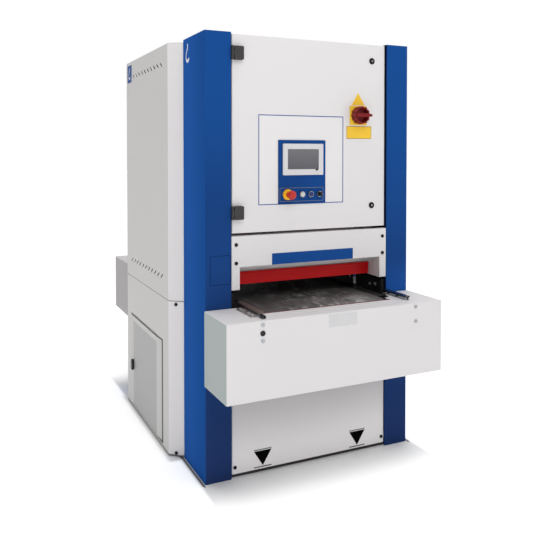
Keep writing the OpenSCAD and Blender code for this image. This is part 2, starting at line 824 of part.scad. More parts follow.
module screen_bezel() color([0.72, 0.73, 0.74]) at_front() translate([screen_x(), 0, screen_z()])
  difference() {
    union() {
      along(0, panel_y) mid_rect(screen_w, screen_h, 5);
      along(panel_y - 1, 48) square([screen_w - 29, screen_h - 31], center = true);
    }
    translate([0, 0, 1]) along(-1, 4) square([glass_w + 1, glass_h + 1], center = true);
  }

module screen_glass() color([0.3, 0.31, 0.33]) at_front() translate([screen_x(), 0, screen_z() + 1])
  along(1.5, 4) square([glass_w, glass_h], center = true);

module isolator_plate() color([0.96, 0.78, 0.2]) at_front() translate([isolator_x, 0, isolator_z])
  difference() {
    along(2, door_y) mid_rect(dial_d + 7, dial_d + 7, 4);
    yrod(dial_shaft_r + play, -1, door_y + 1, 0, 0);
  }

module lock_insert(z) color([0.75, 0.75, 0.76]) at_front() translate([lock_x, 0, z]) difference() {
  union() {
    yrod(lock_r, 5, 12, 0, 0);
    yrod(6, 11, 44, 0, 0);
    blk(-8, 8, 39, 43, -48, 8);
  }
  blk(-1.5, 1.5, 4, 8, -7, 7);
}

module door_lock_upper() lock_insert(lock_zs[1]);

module door_lock_lower() lock_insert(lock_zs[0]);

// notched dial with a hollow face, its grip a tapered pointer
module isolator_knob() color([0.62, 0.16, 0.2]) at_front() translate([isolator_x, 0, isolator_z]) {
  r = dial_d / 2;
  difference() {
    yrod(r, -dial_h, 1.5, 0, 0);
    for (a = [15 : 30 : 345]) rotate([0, a, 0]) translate([r + 2.5, 0, 0]) yrod(6, -dial_h - 1, 2.5, 0, 0);
    yrod(r - 8, -dial_h - 1, 22 - dial_h, 0, 0);
  }
  along(-dial_h - 5, 23 - dial_h)
    polygon([[9 - r, -9], [r - 9, -9], [r + 10, -5], [r + 10, 5], [r - 9, 9], [9 - r, 9]]);
  yrod(dial_shaft_r, 1, 40, 0, 0);
}

module estop_button() color([0.9, 0.2, 0.15]) at_front() translate([button_xs()[0], 0, button_z]) {
  r = estop_d / 2;
  h = 20 + estop_travel;
  rotate([90, 0, 0]) rotate_extrude() polygon([[0, -42], [stem_r, -42], [stem_r, -8], [button_r, -8],
    [button_r, h], [r - 5, h + 5], [r - 0.6, h + 9], [r, h + 13], [r - 0.6, h + 17], [r - 4, h + 21],
    [r - 10, h + 23.5], [0, h + 24.5]]);
}

// push cap of a small button; its back stem ends inside the door
module push_cap(x) at_front() translate([x, 0, button_z]) {
  yrod(button_r, -7, 6, 0, 0);
  yrod(stem_r, 5, 40, 0, 0);
}

module start_button() color([0.93, 0.93, 0.92]) push_cap(button_xs()[1]);

module reset_button() color([0.15, 0.35, 0.7]) push_cap(button_xs()[2]);

module mode_selector() color([0.06, 0.06, 0.06]) at_front() translate([button_xs()[3], 0, button_z]) {
  yrod(button_r, -6, 6, 0, 0);
  blk(-4, 4, -20, -5, -10, 10);
  yrod(stem_r, 5, 40, 0, 0);
}

// Side doors, latches and the safety flap

// plan of a right-hand side door hung at its front edge, set in by t
function door_plan(a, b, t) = [[side_x - door_drop - t * 1.1, a + t], [side_x - t, a + door_slope + t],
  [side_x - t, b - t], [side_x - pan_d - (t > 0 ? 1 : 0), b - t], [side_x - pan_d - (t > 0 ? 1 : 0), a + t]];

// pan of a right-hand side door in the opening y0 to y1, z0 to z1, with its two hinge pins
module door_pan(y0, y1, z0, z1) {
  a = y0 + jamb;
  b = y1 - jamb;
  difference() {
    translate([0, 0, z0 + jamb]) linear_extrude(z1 - z0 - 2 * jamb) polygon(door_plan(a, b, 0));
    translate([0, 0, z0 + jamb + sheet]) linear_extrude(z1 - z0 - 2 * jamb - 2 * sheet)
      polygon(door_plan(a, b, sheet));
  }
  zrod(pin_r, z1 - jamb - sheet + 0.5, z1 + 6, side_x - pin_in, y0 + pin_up);
  zrod(pin_r, z0 - 6, z0 + jamb + sheet - 0.5, side_x - pin_in, y0 + pin_up);
}

function low_latch() = [low_y1 - 44, (low_z0 + low_z1) / 2 - 30];
function big_latch() = [big_y0 + 44, (big_z0 + big_z1) / 2];

module left_lower_door() color([0.84, 0.84, 0.83]) at_front() mirror([1, 0, 0]) difference() {
  door_pan(low_y0, low_y1, low_z0, low_z1);
  xrod(latch_r + play, side_x - 10, side_x + 10, low_latch()[0], low_latch()[1]);
}

module belt_door() color([0.88, 0.88, 0.87]) at_front() difference() {
  translate([0, big_y0 + big_y1, 0]) mirror([0, 1, 0]) door_pan(big_y0, big_y1, big_z0, big_z1);
  xrod(latch_r + play, side_x - 10, side_x + 10, big_latch()[0], big_latch()[1]);
  vent_row(big_y0 + 70, big_y1 - 170, big_z1 - 60, -slot_lean, 9);
}

module latch(p) translate([side_x, p[0], p[1]]) {
  across(2, 13) oval(28, 62);
  xrod(latch_r, -34, 3, 0, 0);
  blk(-34, -30, -9, 9, -52, 9);
}

module left_door_latch() color([0.06, 0.06, 0.06]) at_front() mirror([1, 0, 0]) latch(low_latch());

module belt_door_latch() color([0.06, 0.06, 0.06]) at_front() latch(big_latch());

// bent strip with a lip at its foot, on a rod
module safety_flap() color([0.66, 0.1, 0.11]) at_front() {
  translate([0, flap_y, flap_z]) across(3 - throat_x, throat_x - 3) polygon([[-flap_t, flap_lip],
    [0, flap_lip], [0, flap_t - flap_h], [14, flap_t - flap_h], [14, -flap_h], [-flap_t, -flap_h]]);
  xrod(flap_pin_r, -throat_x - 1.5, throat_x + 1.5, flap_y, flap_z);
}

// Feed table

// cross member of the frame, an open channel
module rung(y) translate([0, y, table_z0]) across(9 - frame_x, frame_x - 9) difference() {
  translate([-rung_w / 2, 0]) square([rung_w, rung_h]);
  translate([rung_t - rung_w / 2, rung_t]) square([rung_w - 2 * rung_t, rung_h]);
}

module table_frame() color([0.2, 0.21, 0.22]) at_front() {
  y0 = sheet + 6 - front_reach;
  y1 = y_b + rear_reach - sheet - 6;
  difference() {
    union() {
      both() blk(frame_x - frame_t, frame_x, y0, y1, table_z0, frame_top);
      both() for (y = [y0 - 6, y1 - 4])
        blk(frame_x - frame_t, frame_x + 22, y, y + 10, table_z0, frame_top - 4);
      for (y = [feed_y0 + 260, jack_ys[0], y_b / 2, jack_ys[1], feed_y1 - 260]) rung(y);
      blk(9 - frame_x, frame_x - 9, feed_y0 + feed_r + 10, feed_y1 - feed_r - 10, frame_top - 12, frame_top);
    }
    for (y = [feed_y0, feed_y1]) xrod(feed_shaft_r + 7, -in_x, in_x, y, feed_z);
  }
}

// side view of a band's filled outline, its ends round the two feed rollers
module feed_stadium(r) {
  translate([feed_y0, -r]) square([feed_y1 - feed_y0, 2 * r]);
  for (y = [feed_y0, feed_y1]) translate([y, 0]) circle(r = r);
}

module feed_belt() color([0.13, 0.13, 0.13]) at_front() translate([0, 0, feed_z])
  across(-belt_w / 2, belt_w / 2) difference() {
    feed_stadium(belt_in + belt_t);
    feed_stadium(belt_in);
  }

module feed_roller(x1) {
  xrod(feed_r, -roller_x, roller_x, 0, 0);
  xrod(feed_shaft_r, -frame_x - 22, x1, 0, 0);
}

module infeed_roller() color([0.6, 0.61, 0.62]) at_front()
  translate([0, feed_y0, feed_z]) feed_roller(frame_x + 22);

module drive_roller() color([0.6, 0.61, 0.62]) at_front()
  translate([0, feed_y1, feed_z]) feed_roller(frame_x + 90);

module roller_bearings() color([0.35, 0.37, 0.39]) at_front() both() for (y = [feed_y0, feed_y1])
  translate([frame_x, y, feed_z]) difference() {
    union() {
      across(0, 18) mid_rect(80, 64, 10);
      xrod(27, 16, 24, 0, 0);
    }
    xrod(feed_shaft_r + fit, -1, 25, 0, 0);
  }

// worm gearbox on the drive roller's shaft with its motor hanging below
module feed_gearmotor() color([0.25, 0.33, 0.42]) at_front() translate([frame_x + 24, feed_y1, feed_z])
  difference() {
    union() {
      across(0, gearbox_w) mid_rect(gearbox_l, gearbox_h, 14);
      translate([feed_motor_x, 0, -feed_motor_drop]) rotate_extrude() polygon([[0, 0], [feed_motor_r - 6, 0],
        [feed_motor_r, 6], [feed_motor_r, feed_motor_drop - 60], [feed_motor_r + 6, feed_motor_drop - 60],
        [feed_motor_r + 6, 1 + feed_motor_drop - gearbox_h / 2], [0, 1 + feed_motor_drop - gearbox_h / 2]]);
      translate([feed_motor_x, feed_motor_r + 10, 55 - feed_motor_drop]) linear_extrude(70)
        mid_rect(44, 40, 5);
    }
    xrod(feed_shaft_r + fit, -1, gearbox_w - 4, 0, 0);
  }

// bent cover box of the table, d deep; its belt opening starts cut behind its front and widens further back
module table_box(d, cut) difference() {
  union() {
    difference() {
      hood_block(2 * box_x, box_h, d, bend);
      translate([0, sheet, -sheet]) hood_block(2 * box_x - 2 * sheet, box_h, d, bend - sheet);
    }
    translate([0, 0, -box_h]) linear_extrude(sheet) difference() {
      bent_section(2 * box_x, d, bend);
      translate([20 - box_x, 20]) square([2 * box_x - 40, d]);
    }
  }
  blk(-belt_w / 2 - 8, belt_w / 2 + 8, cut, d + 1, -sheet - 1, 1);
  blk(-frame_x - 2, frame_x + 2, cut + box_step, d + 1, -sheet - 1, 1);
}

module front_box() color([0.91, 0.91, 0.9]) at_front() translate([0, -front_reach, box_z1])
  table_box(front_reach - 4, box_nose);

module rear_box() color([0.91, 0.91, 0.9]) at_front() translate([0, y_b + rear_reach, box_z1])
  mirror([0, 1, 0]) table_box(rear_reach - 4, box_nose);

module hex_bolt(x, y, z) translate([x, y, z]) cylinder(r = 8, h = 7, $fn = 6);

// the left bar lies on a bracket plate with an end stop, the right one on three posts
module guide_rails() color([0.1, 0.1, 0.11]) at_front() translate([0, 0, box_z1]) {
  x = left_bar_x + bar_w;
  translate([-x, left_bar_y0, left_bar_rise]) linear_extrude(bar_t) round_rect(bar_w, left_bar_l, 6);
  translate([-x - 42, left_bar_y0 - 21, 0]) linear_extrude(3) round_rect(56, 169, 4);
  blk(-x - 12, 8 - x, left_bar_y0 - 69, left_bar_y0 - 18, 0, 3);
  for (y = [left_bar_y0 + 28, left_bar_y0 + 118]) {
    blk(4 - x, 14 - x, y - 12, y + 12, 2, left_bar_rise + 1);
    hex_bolt(-x - 24, y - 18, 2);
    hex_bolt(-x - 24, y + 18, 2);
  }
  difference() {
    yrod(stop_r, left_bar_y0 - 69, left_bar_y0 - 34, -x - 2, stop_r + 2.5);
    translate([-x - 2, left_bar_y0 - 63, stop_r + 2.5]) rotate([90, 0, 0])
      cylinder(r = stop_r / 2, h = 10, $fn = 8);
  }
  translate([right_bar_x, right_bar_y0, right_bar_rise]) linear_extrude(bar_t)
    round_rect(bar_w, right_bar_l, 6);
  for (y = [right_bar_y0 + 8, right_bar_y0 + 93, right_bar_y0 + 166]) {
    zrod(4, 0, right_bar_rise + 1, right_bar_x + 20, y);
    zrod(7, 0, 2, right_bar_x + 20, y);
  }
}

// sensor at the belt's edge on a small bracket of the frame
module edge_sensor() color([0.75, 0.76, 0.78]) at_front() translate([in_x - 65, 186, frame_top]) {
  blk(-10, frame_x - in_x + 65, -10, 10, 0, 5);
  translate([0, 0, 4]) rotate_extrude() polygon([[0, 0], [6, 0], [6, 20], [8, 22], [8, 55], [7, 56], [7, 73],
    [5, 76], [0, 76]]);
}

module lift_screws() color([0.62, 0.63, 0.64]) at_front() both() for (y = jack_ys) {
  zrod(screw_r, screw_z0, table_z0, jack_x, y);
  zrod(screw_r + 11, table_z0 - 14, table_z0, jack_x, y);
}

// Sanding head, moving pieces

module contact_roller() color([0.16, 0.16, 0.17]) at_front() {
  xrod(contact_r, -roller_x, roller_x, head_y, contact_z);
  xrod(shaft_r, -pulley_x0 - pulley_w - 6, roller_x + 34, head_y, contact_z);
}

module pulley(d, bore) {
  r = d / 2;
  e = pulley_rim;
  rotate([0, 90, 0]) rotate_extrude() polygon([[bore, 0], [r, 0], [r, e], [r - e, e],
    [r - e, pulley_w - e], [r, pulley_w - e], [r, pulley_w], [bore, pulley_w]]);
}

module contact_pulley() color([0.4, 0.41, 0.42]) at_front()
  translate([-pulley_x0 - pulley_w, head_y, contact_z]) pulley(contact_pulley_d, shaft_r + 0.01);

module motor_pulley() color([0.4, 0.41, 0.42]) at_front()
  translate([-pulley_x0 - pulley_w, motor_y, motor_z]) {
    pulley(motor_pulley_d, motor_shaft_r - 4);
    xrod(motor_shaft_r, -4, pulley_w + pulley_x0 - plate_x0 + motor_shaft_in, 0, 0);
  }

module tension_yoke() color([0.45, 0.47, 0.5]) at_front() translate([0, head_y, 0]) {
  x0 = roller_x + 6;
  x1 = x0 + 14;
  difference() {
    union() {
      blk(-x1, x1, -yoke_r, yoke_r, yoke_z - yoke_h, yoke_z);
      both() translate([0, 0, tension_z]) across(x0, x1) lug(yoke_r, tension_z - yoke_z + yoke_h);
      zrod(rod_r, beam_z1 + 25 + tension_stroke, yoke_z - yoke_h + 1, 0, 0);
    }
    xrod(feed_shaft_r + fit, -x1 - 1, x1 + 1, 0, tension_z);
  }
}

module tension_roller() color([0.6, 0.61, 0.62]) at_front() {
  xrod(tension_r, -roller_x, roller_x, head_y, tension_z);
  xrod(feed_shaft_r, -roller_x - 22, roller_x + 22, head_y, tension_z);
}

module press_roller(y) color([0.2, 0.2, 0.21]) at_front() {
  xrod(press_r, -roller_x, roller_x, y, press_z);
  xrod(press_shaft_r, 3 - in_x, in_x - 3, y, press_z);
}

module infeed_press_roller() press_roller(head_y - press_off);

module outfeed_press_roller() press_roller(head_y + press_off);
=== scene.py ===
import bpy
import bmesh
import json
import math
from mathutils import Matrix, Vector


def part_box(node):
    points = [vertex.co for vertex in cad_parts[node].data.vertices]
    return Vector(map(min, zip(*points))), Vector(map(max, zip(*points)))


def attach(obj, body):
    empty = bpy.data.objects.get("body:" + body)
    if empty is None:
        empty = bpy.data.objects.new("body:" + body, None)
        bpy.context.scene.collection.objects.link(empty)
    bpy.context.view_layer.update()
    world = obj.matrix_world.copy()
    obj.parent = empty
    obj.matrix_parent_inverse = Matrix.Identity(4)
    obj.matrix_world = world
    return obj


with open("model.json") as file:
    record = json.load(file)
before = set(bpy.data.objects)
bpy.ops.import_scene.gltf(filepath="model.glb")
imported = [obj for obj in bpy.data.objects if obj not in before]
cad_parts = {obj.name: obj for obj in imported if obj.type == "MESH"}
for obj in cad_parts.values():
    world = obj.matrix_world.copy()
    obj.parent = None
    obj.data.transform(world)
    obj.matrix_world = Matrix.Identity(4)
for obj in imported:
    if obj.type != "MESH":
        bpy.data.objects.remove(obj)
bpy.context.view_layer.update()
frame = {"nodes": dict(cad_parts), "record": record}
parts = frame["nodes"]
print("frame loaded:", len(parts), "nodes")


# shader maths: a socket that can be added, multiplied and so on
class Wire:
    def __init__(self, finish, socket):
        self.finish = finish
        self.socket = socket

    def calc(self, operation, first, second):
        return self.finish.add("ShaderNodeMath", {"operation": operation}, {0: first, 1: second})

    def __add__(self, other):
        return self.calc("ADD", self, other)

    def __radd__(self, other):
        return self.calc("ADD", other, self)

    def __sub__(self, other):
        return self.calc("SUBTRACT", self, other)

    def __rsub__(self, other):
        return self.calc("SUBTRACT", other, self)

    def __mul__(self, other):
        return self.calc("MULTIPLY", self, other)

    def __rmul__(self, other):
        return self.calc("MULTIPLY", other, self)

    def __truediv__(self, other):
        return self.calc("DIVIDE", self, other)

    def __pow__(self, other):
        return self.calc("POWER", self, other)


# the nodes of one material, or of the world
class Finish:
    def __init__(self, name, owner=None):
        self.owner = owner or bpy.data.materials.new(name)
        self.owner.use_nodes = True
        self.tree = self.owner.node_tree
        self.tree.nodes.clear()

    # any node: its type, its settings, then the values or links of its sockets
    def add(self, kind, settings=None, sockets=None, out=None):
        node = self.tree.nodes.new(kind)
        for key, value in (settings or {}).items():
            setattr(node, key, value)
        for key, value in (sockets or {}).items():
            if isinstance(key, int):
                socket = node.inputs[key]
            else:
                socket = next(s for s in node.inputs if s.name == key and s.enabled)
            if isinstance(value, Wire):
                self.tree.links.new(value.socket, socket)
            else:
                socket.default_value = value
        outs = [s for s in node.outputs if s.enabled]
        if not outs:
            return node
        return Wire(self, outs[0] if out is None else next(s for s in outs if s.name == out))

    def surface(self, sockets):
        shader = self.add("ShaderNodeBsdfPrincipled", None, sockets)
        self.add("ShaderNodeOutputMaterial", None, {"Surface": shader})
        return self.owner


def rgba(colour, gain=1.0):
    return (colour[0] * gain, colour[1] * gain, colour[2] * gain, 1.0)


def spot(f):
    return f.add("ShaderNodeTexCoord", out="Object")


def axisOf(f, name):
    return f.add("ShaderNodeSeparateXYZ", None, {"Vector": spot(f)}, out=name)


# how far a face looks along an axis
def normalOf(f, name):
    turn = f.add("ShaderNodeNewGeometry", out="Normal")
    return f.add("ShaderNodeSeparateXYZ", None, {"Vector": turn}, out=name)


def grain(f, scale, detail=3.0, rough=0.5, stretch=(1.0, 1.0, 1.0), twist=0.0):
    place = f.add("ShaderNodeMapping", None, {"Vector": spot(f), "Scale": stretch})
    return f.add("ShaderNodeTexNoise", None,
                 {"Vector": place, "Scale": scale, "Detail": detail, "Roughness": rough,
                  "Distortion": twist})


def between(f, value, low, high):
    return f.add("ShaderNodeMapRange", {"interpolation_type": "SMOOTHSTEP"},
                 {"Value": value, "From Min": low, "From Max": high})


# nothing before an edge, one after it
def past(f, value, edge, soft=0.0005):
    return between(f, value, edge - soft, edge + soft)


# one between low and high, nothing outside
def within(f, value, low, high, soft=0.0005):
    return past(f, value, low, soft) * (1 - past(f, value, high, soft))


def frontFacing(f):
    return between(f, normalOf(f, "Y") * -1.0, 0.4, 0.8)


def tint(f, mask, first, second):
    return f.add("ShaderNodeMix", {"data_type": "RGBA"},
                 {"Factor": mask, "A": first, "B": second}, out="Result")


# one colour between two strengths of itself
def shaded(f, mask, colour, low, high):
    return tint(f, mask, rgba(colour, low), rgba(colour, high))


def bump(f, height, strength, depth):
    return f.add("ShaderNodeBump", None, {"Height": height, "Strength": strength, "Distance": depth})


# what all sprayed and baked sheet metal shares: faint clouds, orange peel, pale dust
sheetCoat = {"cloud": 1.7, "peel": 380.0, "strength": 0.12, "depth": 0.0006, "gloss": 0.42, "drift": 0.08,
             "shine": 0.3, "dust": (0.42, 0.40, 0.37)}


def sheetSurface(f, base, rough, shine=sheetCoat["shine"]):
    peel = bump(f, grain(f, sheetCoat["peel"], 2.0), sheetCoat["strength"], sheetCoat["depth"])
    return f.surface({"Base Color": base, "Roughness": rough, "Normal": peel, "Specular IOR Level": shine})


def glossOf(cloud, gloss=sheetCoat["gloss"]):
    return gloss + cloud * sheetCoat["drift"]


# smears over the sheet and dust towards the floor
def soilOf(f, smearShare, lowShare):
    smear = between(f, grain(f, 7.0, 5.0, 0.62, (1.0, 1.0, 0.25)), 0.52, 0.80)
    low = 1 - between(f, axisOf(f, "Z"), 0.02, 0.30)
    return smear * smearShare + low * lowShare


def coatedSheet(name, colour, gloss, dust, shine=0.5):
    f = Finish(name)
    cloud = grain(f, sheetCoat["cloud"])
    soil = soilOf(f, dust, dust * 0.8)
    base = shaded(f, cloud, colour, 0.965, 1.03)
    base = tint(f, soil, base, rgba(sheetCoat["dust"]))
    return sheetSurface(f, base, glossOf(cloud, gloss) + soil * 0.5, shine)


# columns and lower panel: painted light and shade: wide faces painted darker towards the columns' foot and
# just under the table box on the panel, side faces painted lighter, inward faces painted dark above the
# table
def columnPaint(name, look):
    f = Finish(name)
    x, z = axisOf(f, "X"), axisOf(f, "Z")
    cloud = grain(f, sheetCoat["cloud"])
    rub = between(f, grain(f, 9.0, 5.0, 0.62, (1.0, 1.0, 0.2)), 0.56, 0.82)
    wide = normalOf(f, "Y")
    wide = between(f, wide * wide, 0.4, 0.8)
    # inward faces: painted shade in the gap above the table, their own blue below
    inward = 1 - between(f, x * x, look["inner"] ** 2, (look["inner"] + 0.003) ** 2)
    # side faces: painted light, lighter towards the back
    bend = between(f, axisOf(f, "Y"), look["bend"], look["bend"] + 0.25)
    side = tint(f, bend, rgba(look["corner"]), rgba(look["edge"]))
    deep = tint(f, past(f, z, look["seamZ"], 0.01), rgba(look["seam"]), rgba(look["gap"]))
    side = tint(f, inward, side, deep)
    # wide faces: painted shade by height
    base = tint(f, between(f, z, look["from"], look["to"]), rgba(look["foot"]), rgba(look["head"]))
    if "bounceLight" in look:  # painted light just above the table on the right, thrown up off the table top; painted shade at half height on the left
        rightHand = past(f, x, 0.0, 0.1)
        bounceLight = (1 - between(f, z, *look["nearZ"])) * past(f, z, look["tableZ"], 0.01)
        base = tint(f, bounceLight * rightHand, base, rgba(look["bounceLight"]))
        rise, crest, fall = look["dipZ"]
        leftShade = between(f, z, rise, crest) * (1 - between(f, z, crest, fall))
        base = tint(f, leftShade * (1 - rightHand) * look["leftShade"], base, rgba(look["foot"], 0.5))
    base = tint(f, wide, side, base)
    base = tint(f, (1 - cloud) * 0.12, base, rgba(look["foot"], 0.6))
    base = tint(f, rub * 0.012, base, rgba(sheetCoat["dust"]))
    return sheetSurface(f, base, glossOf(cloud, 0.36) + rub * 0.1, look["shine"])


# rough paint on castings and welded frames
castSkin = {"grain": 95.0, "strength": 0.22, "depth": 0.0012, "grime": (0.10, 0.085, 0.07)}


def castSurface(f, base, rough, shine):
    skin = bump(f, grain(f, castSkin["grain"], 5.0, 0.6), castSkin["strength"], castSkin["depth"])
    return f.surface({"Base Color": base, "Roughness": rough, "Normal": skin, "Specular IOR Level": shine})


def castPaint(name, colour, gloss, shine=0.5):
    f = Finish(name)
    cloud = grain(f, 3.0)
    grime = between(f, grain(f, 11.0, 6.0, 0.65), 0.5, 0.82)
    base = shaded(f, cloud, colour, 0.88, 1.1)
    base = tint(f, grime * 0.25, base, rgba(castSkin["grime"]))
    return castSurface(f, base, gloss + grime * 0.18, shine)


# table bed: black, its upper faces dulled by sanding dust
def bedPaint(name, colour, dustColour):
    f = Finish(name)
    drift = grain(f, 16.0, 5.0, 0.65, (1.0, 0.5, 1.0))
    upward = between(f, normalOf(f, "Z"), 0.5, 0.9)
    dust = upward * (0.55 + between(f, drift, 0.35, 0.7) * 0.45)
    base = tint(f, dust, rgba(colour), rgba(dustColour))
    return castSurface(f, base, 0.50 + dust * 0.3, 0.2)


# bare metal with the marks of turning, drawing or plating along one direction
def bareMetal(name, colour, gloss, stretch, spangle=0.0):
    f = Finish(name)
    lines = grain(f, 60.0, 4.0, 0.6, stretch)
    patch = between(f, grain(f, 28.0), 0.48, 0.72)
    base = shaded(f, lines, colour, 0.84, 1.1)
    base = tint(f, patch * spangle, base, rgba((colour[0] * 0.72, colour[1] * 0.74, colour[2] * 0.8)))
    return f.surface({"Base Color": base, "Metallic": 1.0, "Roughness": gloss + lines * 0.14,
                      "Normal": bump(f, lines, 0.16, 0.0004)})


# moulded plastic: fine pebbles and slight clouds
pebbles = {"grain": 900.0, "depth": 0.0003, "cloud": 12.0}


def plasticCloud(f):
    return grain(f, pebbles["cloud"], 4.0, 0.6)


def plasticSurface(f, base, rough, texture, shine):
    pebble = bump(f, grain(f, pebbles["grain"], 2.0), texture, pebbles["depth"])
    return f.surface({"Base Color": base, "Roughness": rough, "Normal": pebble, "Specular IOR Level": shine})


def moulded(name, colour, gloss, texture=0.2, shine=0.35):
    f = Finish(name)
    cloud = plasticCloud(f)
    base = shaded(f, cloud, colour, 0.9, 1.08)
    return plasticSurface(f, base, gloss + cloud * 0.1, texture, shine)


# grey belt rubber, dusty along the middle where the boards run
def feedRubber(name, look):
    f = Finish(name)
    weave = grain(f, 700.0, 2.0)
    streak = grain(f, 26.0, 4.0, 0.6, (1.0, 0.10, 1.0), 0.4)
    scuff = grain(f, 30.0, 6.0, 0.70, (1.0, 0.45, 1.0), 0.4)
    smudge = grain(f, 3.4, 5.0, 0.65, (1.0, 0.8, 1.0), 0.3)
    across = axisOf(f, "X") - look["middle"]
    middle = 1 - between(f, across * across, look["clear"] ** 2, look["wide"] ** 2)
    film = between(f, smudge, 0.34, 0.66) * middle * look["film"]
    dust = between(f, scuff, 0.48, 0.72) * (0.15 + 0.85 * middle) * look["dust"]
    dust = dust + between(f, streak, 0.5, 0.8) * 0.12
    base = tint(f, streak, rgba(look["dark"]), rgba(look["worn"]))
    base = tint(f, film, base, rgba(look["filmColour"]))
    base = tint(f, dust, base, rgba(look["dustColour"]))
    return f.surface({"Base Color": base, "Roughness": 0.62 + dust * 0.25,
                      "Normal": bump(f, weave, 0.3, 0.0005)})


def rollerRubber(name, colour):
    f = Finish(name)
    wrap = grain(f, 420.0)
    rubbed = between(f, grain(f, 14.0, 5.0, 0.6, (0.3, 1.0, 1.0)), 0.45, 0.8)
    base = tint(f, rubbed, rgba(colour), rgba(colour, 2.1))
    return f.surface({"Base Color": base, "Roughness": 0.55 + rubbed * 0.2,
                      "Normal": bump(f, wrap, 0.25, 0.0005)})


# coated abrasive: sharp grains in resin over cloth, loaded with wood dust
def sandingCloth(name, look):
    f = Finish(name)
    grit = f.add("ShaderNodeTexVoronoi", {"feature": "F1"},
                 {"Vector": spot(f), "Scale": look["grit"]}, out="Distance")
    load = between(f, grain(f, 9.0, 5.0, 0.65, (1.0, 1.0, 0.3)), 0.45, 0.8)
    base = tint(f, between(f, grit, 0.1, 0.6), rgba(look["grain"]), rgba(look["resin"]))
    base = tint(f, load * 0.35, base, rgba(look["load"]))
    return f.surface({"Base Color": base, "Roughness": 0.75 + load * 0.12,
                      "Normal": bump(f, 1 - grit, 0.6, 0.0006)})


def darkScreen(name, look):
    f = Finish(name)
    smudge = between(f, grain(f, 34.0, 5.0, 0.6, (1.0, 1.0, 0.6), 0.8), 0.5, 0.8)
    # painted reflection: the glass lighter towards the top
    base = tint(f, between(f, axisOf(f, "Z"), *look["z"]), rgba(look["low"]), rgba(look["high"]))
    return f.surface({"Base Color": base, "Roughness": 0.12 + smudge * 0.22, "IOR": 1.5})


# the rings on the door: yellow behind the stop button, black round the locks, bright round the rest
def ringMetal(name, look):
    f = Finish(name)
    x = axisOf(f, "X")
    yellow = 1 - past(f, x, look["yellowX"])
    black = past(f, x, look["blackX"])
    scratch = grain(f, 180.0)
    base = tint(f, yellow, rgba(look["bright"]), rgba(look["yellow"]))
    base = tint(f, black, base, rgba(look["black"]))
    return f.surface({"Base Color": base, "Metallic": (1 - yellow) * (1 - black),
                      "Roughness": 0.22 + scratch * 0.08 + yellow * 0.12 + black * 0.16,
                      "Normal": bump(f, scratch, 0.06, 0.0003), "Specular IOR Level": 0.15})


# right guide bar and end stop oiled black, left bar worn brown on a plated bracket
def railMetal(name, look):
    f = Finish(name)
    x, y, z = axisOf(f, "X"), axisOf(f, "Y"), axisOf(f, "Z")
    stop = (1 - past(f, y, look["stopY"], 0.0002)) * past(f, z, look["stopZ"], 0.0001)
    black = past(f, x, 0.0, 0.001) + stop
    bar = past(f, x, look["barX"], 0.0002) * past(f, z, look["barZ"], 0.00015) * (1 - black)
    lines = grain(f, 90.0, 4.0, 0.6, (1.0, 0.06, 1.0))
    worn = between(f, grain(f, 22.0, 4.0, 0.6), 0.5, 0.8)
    plated, brown, oiled = [tint(f, worn, rgba(look[key][0]), rgba(look[key][1]))
                            for key in ("plated", "brown", "oiled")]
    base = tint(f, black, tint(f, bar, plated, brown), oiled)
    return f.surface({"Base Color": base, "Metallic": 1 - bar * 0.6 - black * 0.7,
                      "Roughness": 0.34 - black * 0.16 + lines * 0.1, "Normal": bump(f, lines, 0.1, 0.0003)})


def sensorSkin(name, look):
    f = Finish(name)
    z = axisOf(f, "Z")
    pebble = grain(f, 700.0, 2.0)
    base = tint(f, past(f, z, look["capZ"]), rgba(look["body"]), rgba(look["cap"]))
    base = tint(f, 1 - past(f, z, look["stemZ"]), base, rgba(look["stem"]))
    return f.surface({"Base Color": base, "Roughness": 0.35 + pebble * 0.1,
                      "Normal": bump(f, pebble, 0.12, 0.0003)})


# ground spindle with its thread
def threadedSteel(name, oily, clean):
    f = Finish(name)
    thread = f.add("ShaderNodeTexWave", {"bands_direction": "Z", "wave_profile": "TRI"},
                   {"Vector": spot(f), "Scale": 40.0}, out="Fac")
    oil = grain(f, 40.0, 4.0)
    base = tint(f, oil, rgba(oily), rgba(clean))
    return f.surface({"Base Color": base, "Metallic": 1.0, "Roughness": 0.28 + oil * 0.2,
                      "Normal": bump(f, thread, 0.7, 0.002)})


# side door: the flat field inside its margins is painted darker: painted shade
def fieldSheet(name, colour, box, look):
    f = Finish(name)
    y, z = axisOf(f, "Y"), axisOf(f, "Z")
    cloud = grain(f, sheetCoat["cloud"])
    # painted shade over the door's flat field
    field = between(f, y, *[box[0].y + v for v in look["front"]])
    field = field * (1 - between(f, z, *[box[1].z - v for v in look["top"]]))
    field = field * (1 - between(f, y, *[box[1].y - v for v in look["rear"]]))
    base = shaded(f, cloud, colour, 0.97, 1.03)
    base = tint(f, field, base, rgba(look["field"]))
    return sheetSurface(f, base, glossOf(cloud))


# table boxes: their end faces painted darker: painted shade
def boxCoat(name, colour, endShade, span=(0.5442, 0.5448)):
    f = Finish(name)
    x = axisOf(f, "X")
    cloud = grain(f, sheetCoat["cloud"])
    onShadedEnd = between(f, x * x, span[0] ** 2, span[1] ** 2)
    rub = between(f, grain(f, 8.0, 5.0, 0.62, (0.25, 1.0, 1.0)), 0.55, 0.82)
    base = shaded(f, cloud, colour, 0.965, 1.03)
    # painted shade on the end faces
    base = tint(f, onShadedEnd, base, shaded(f, cloud, endShade, 0.97, 1.03))
    base = tint(f, rub * 0.02, base, rgba(sheetCoat["dust"]))
    return sheetSurface(f, base, glossOf(cloud))


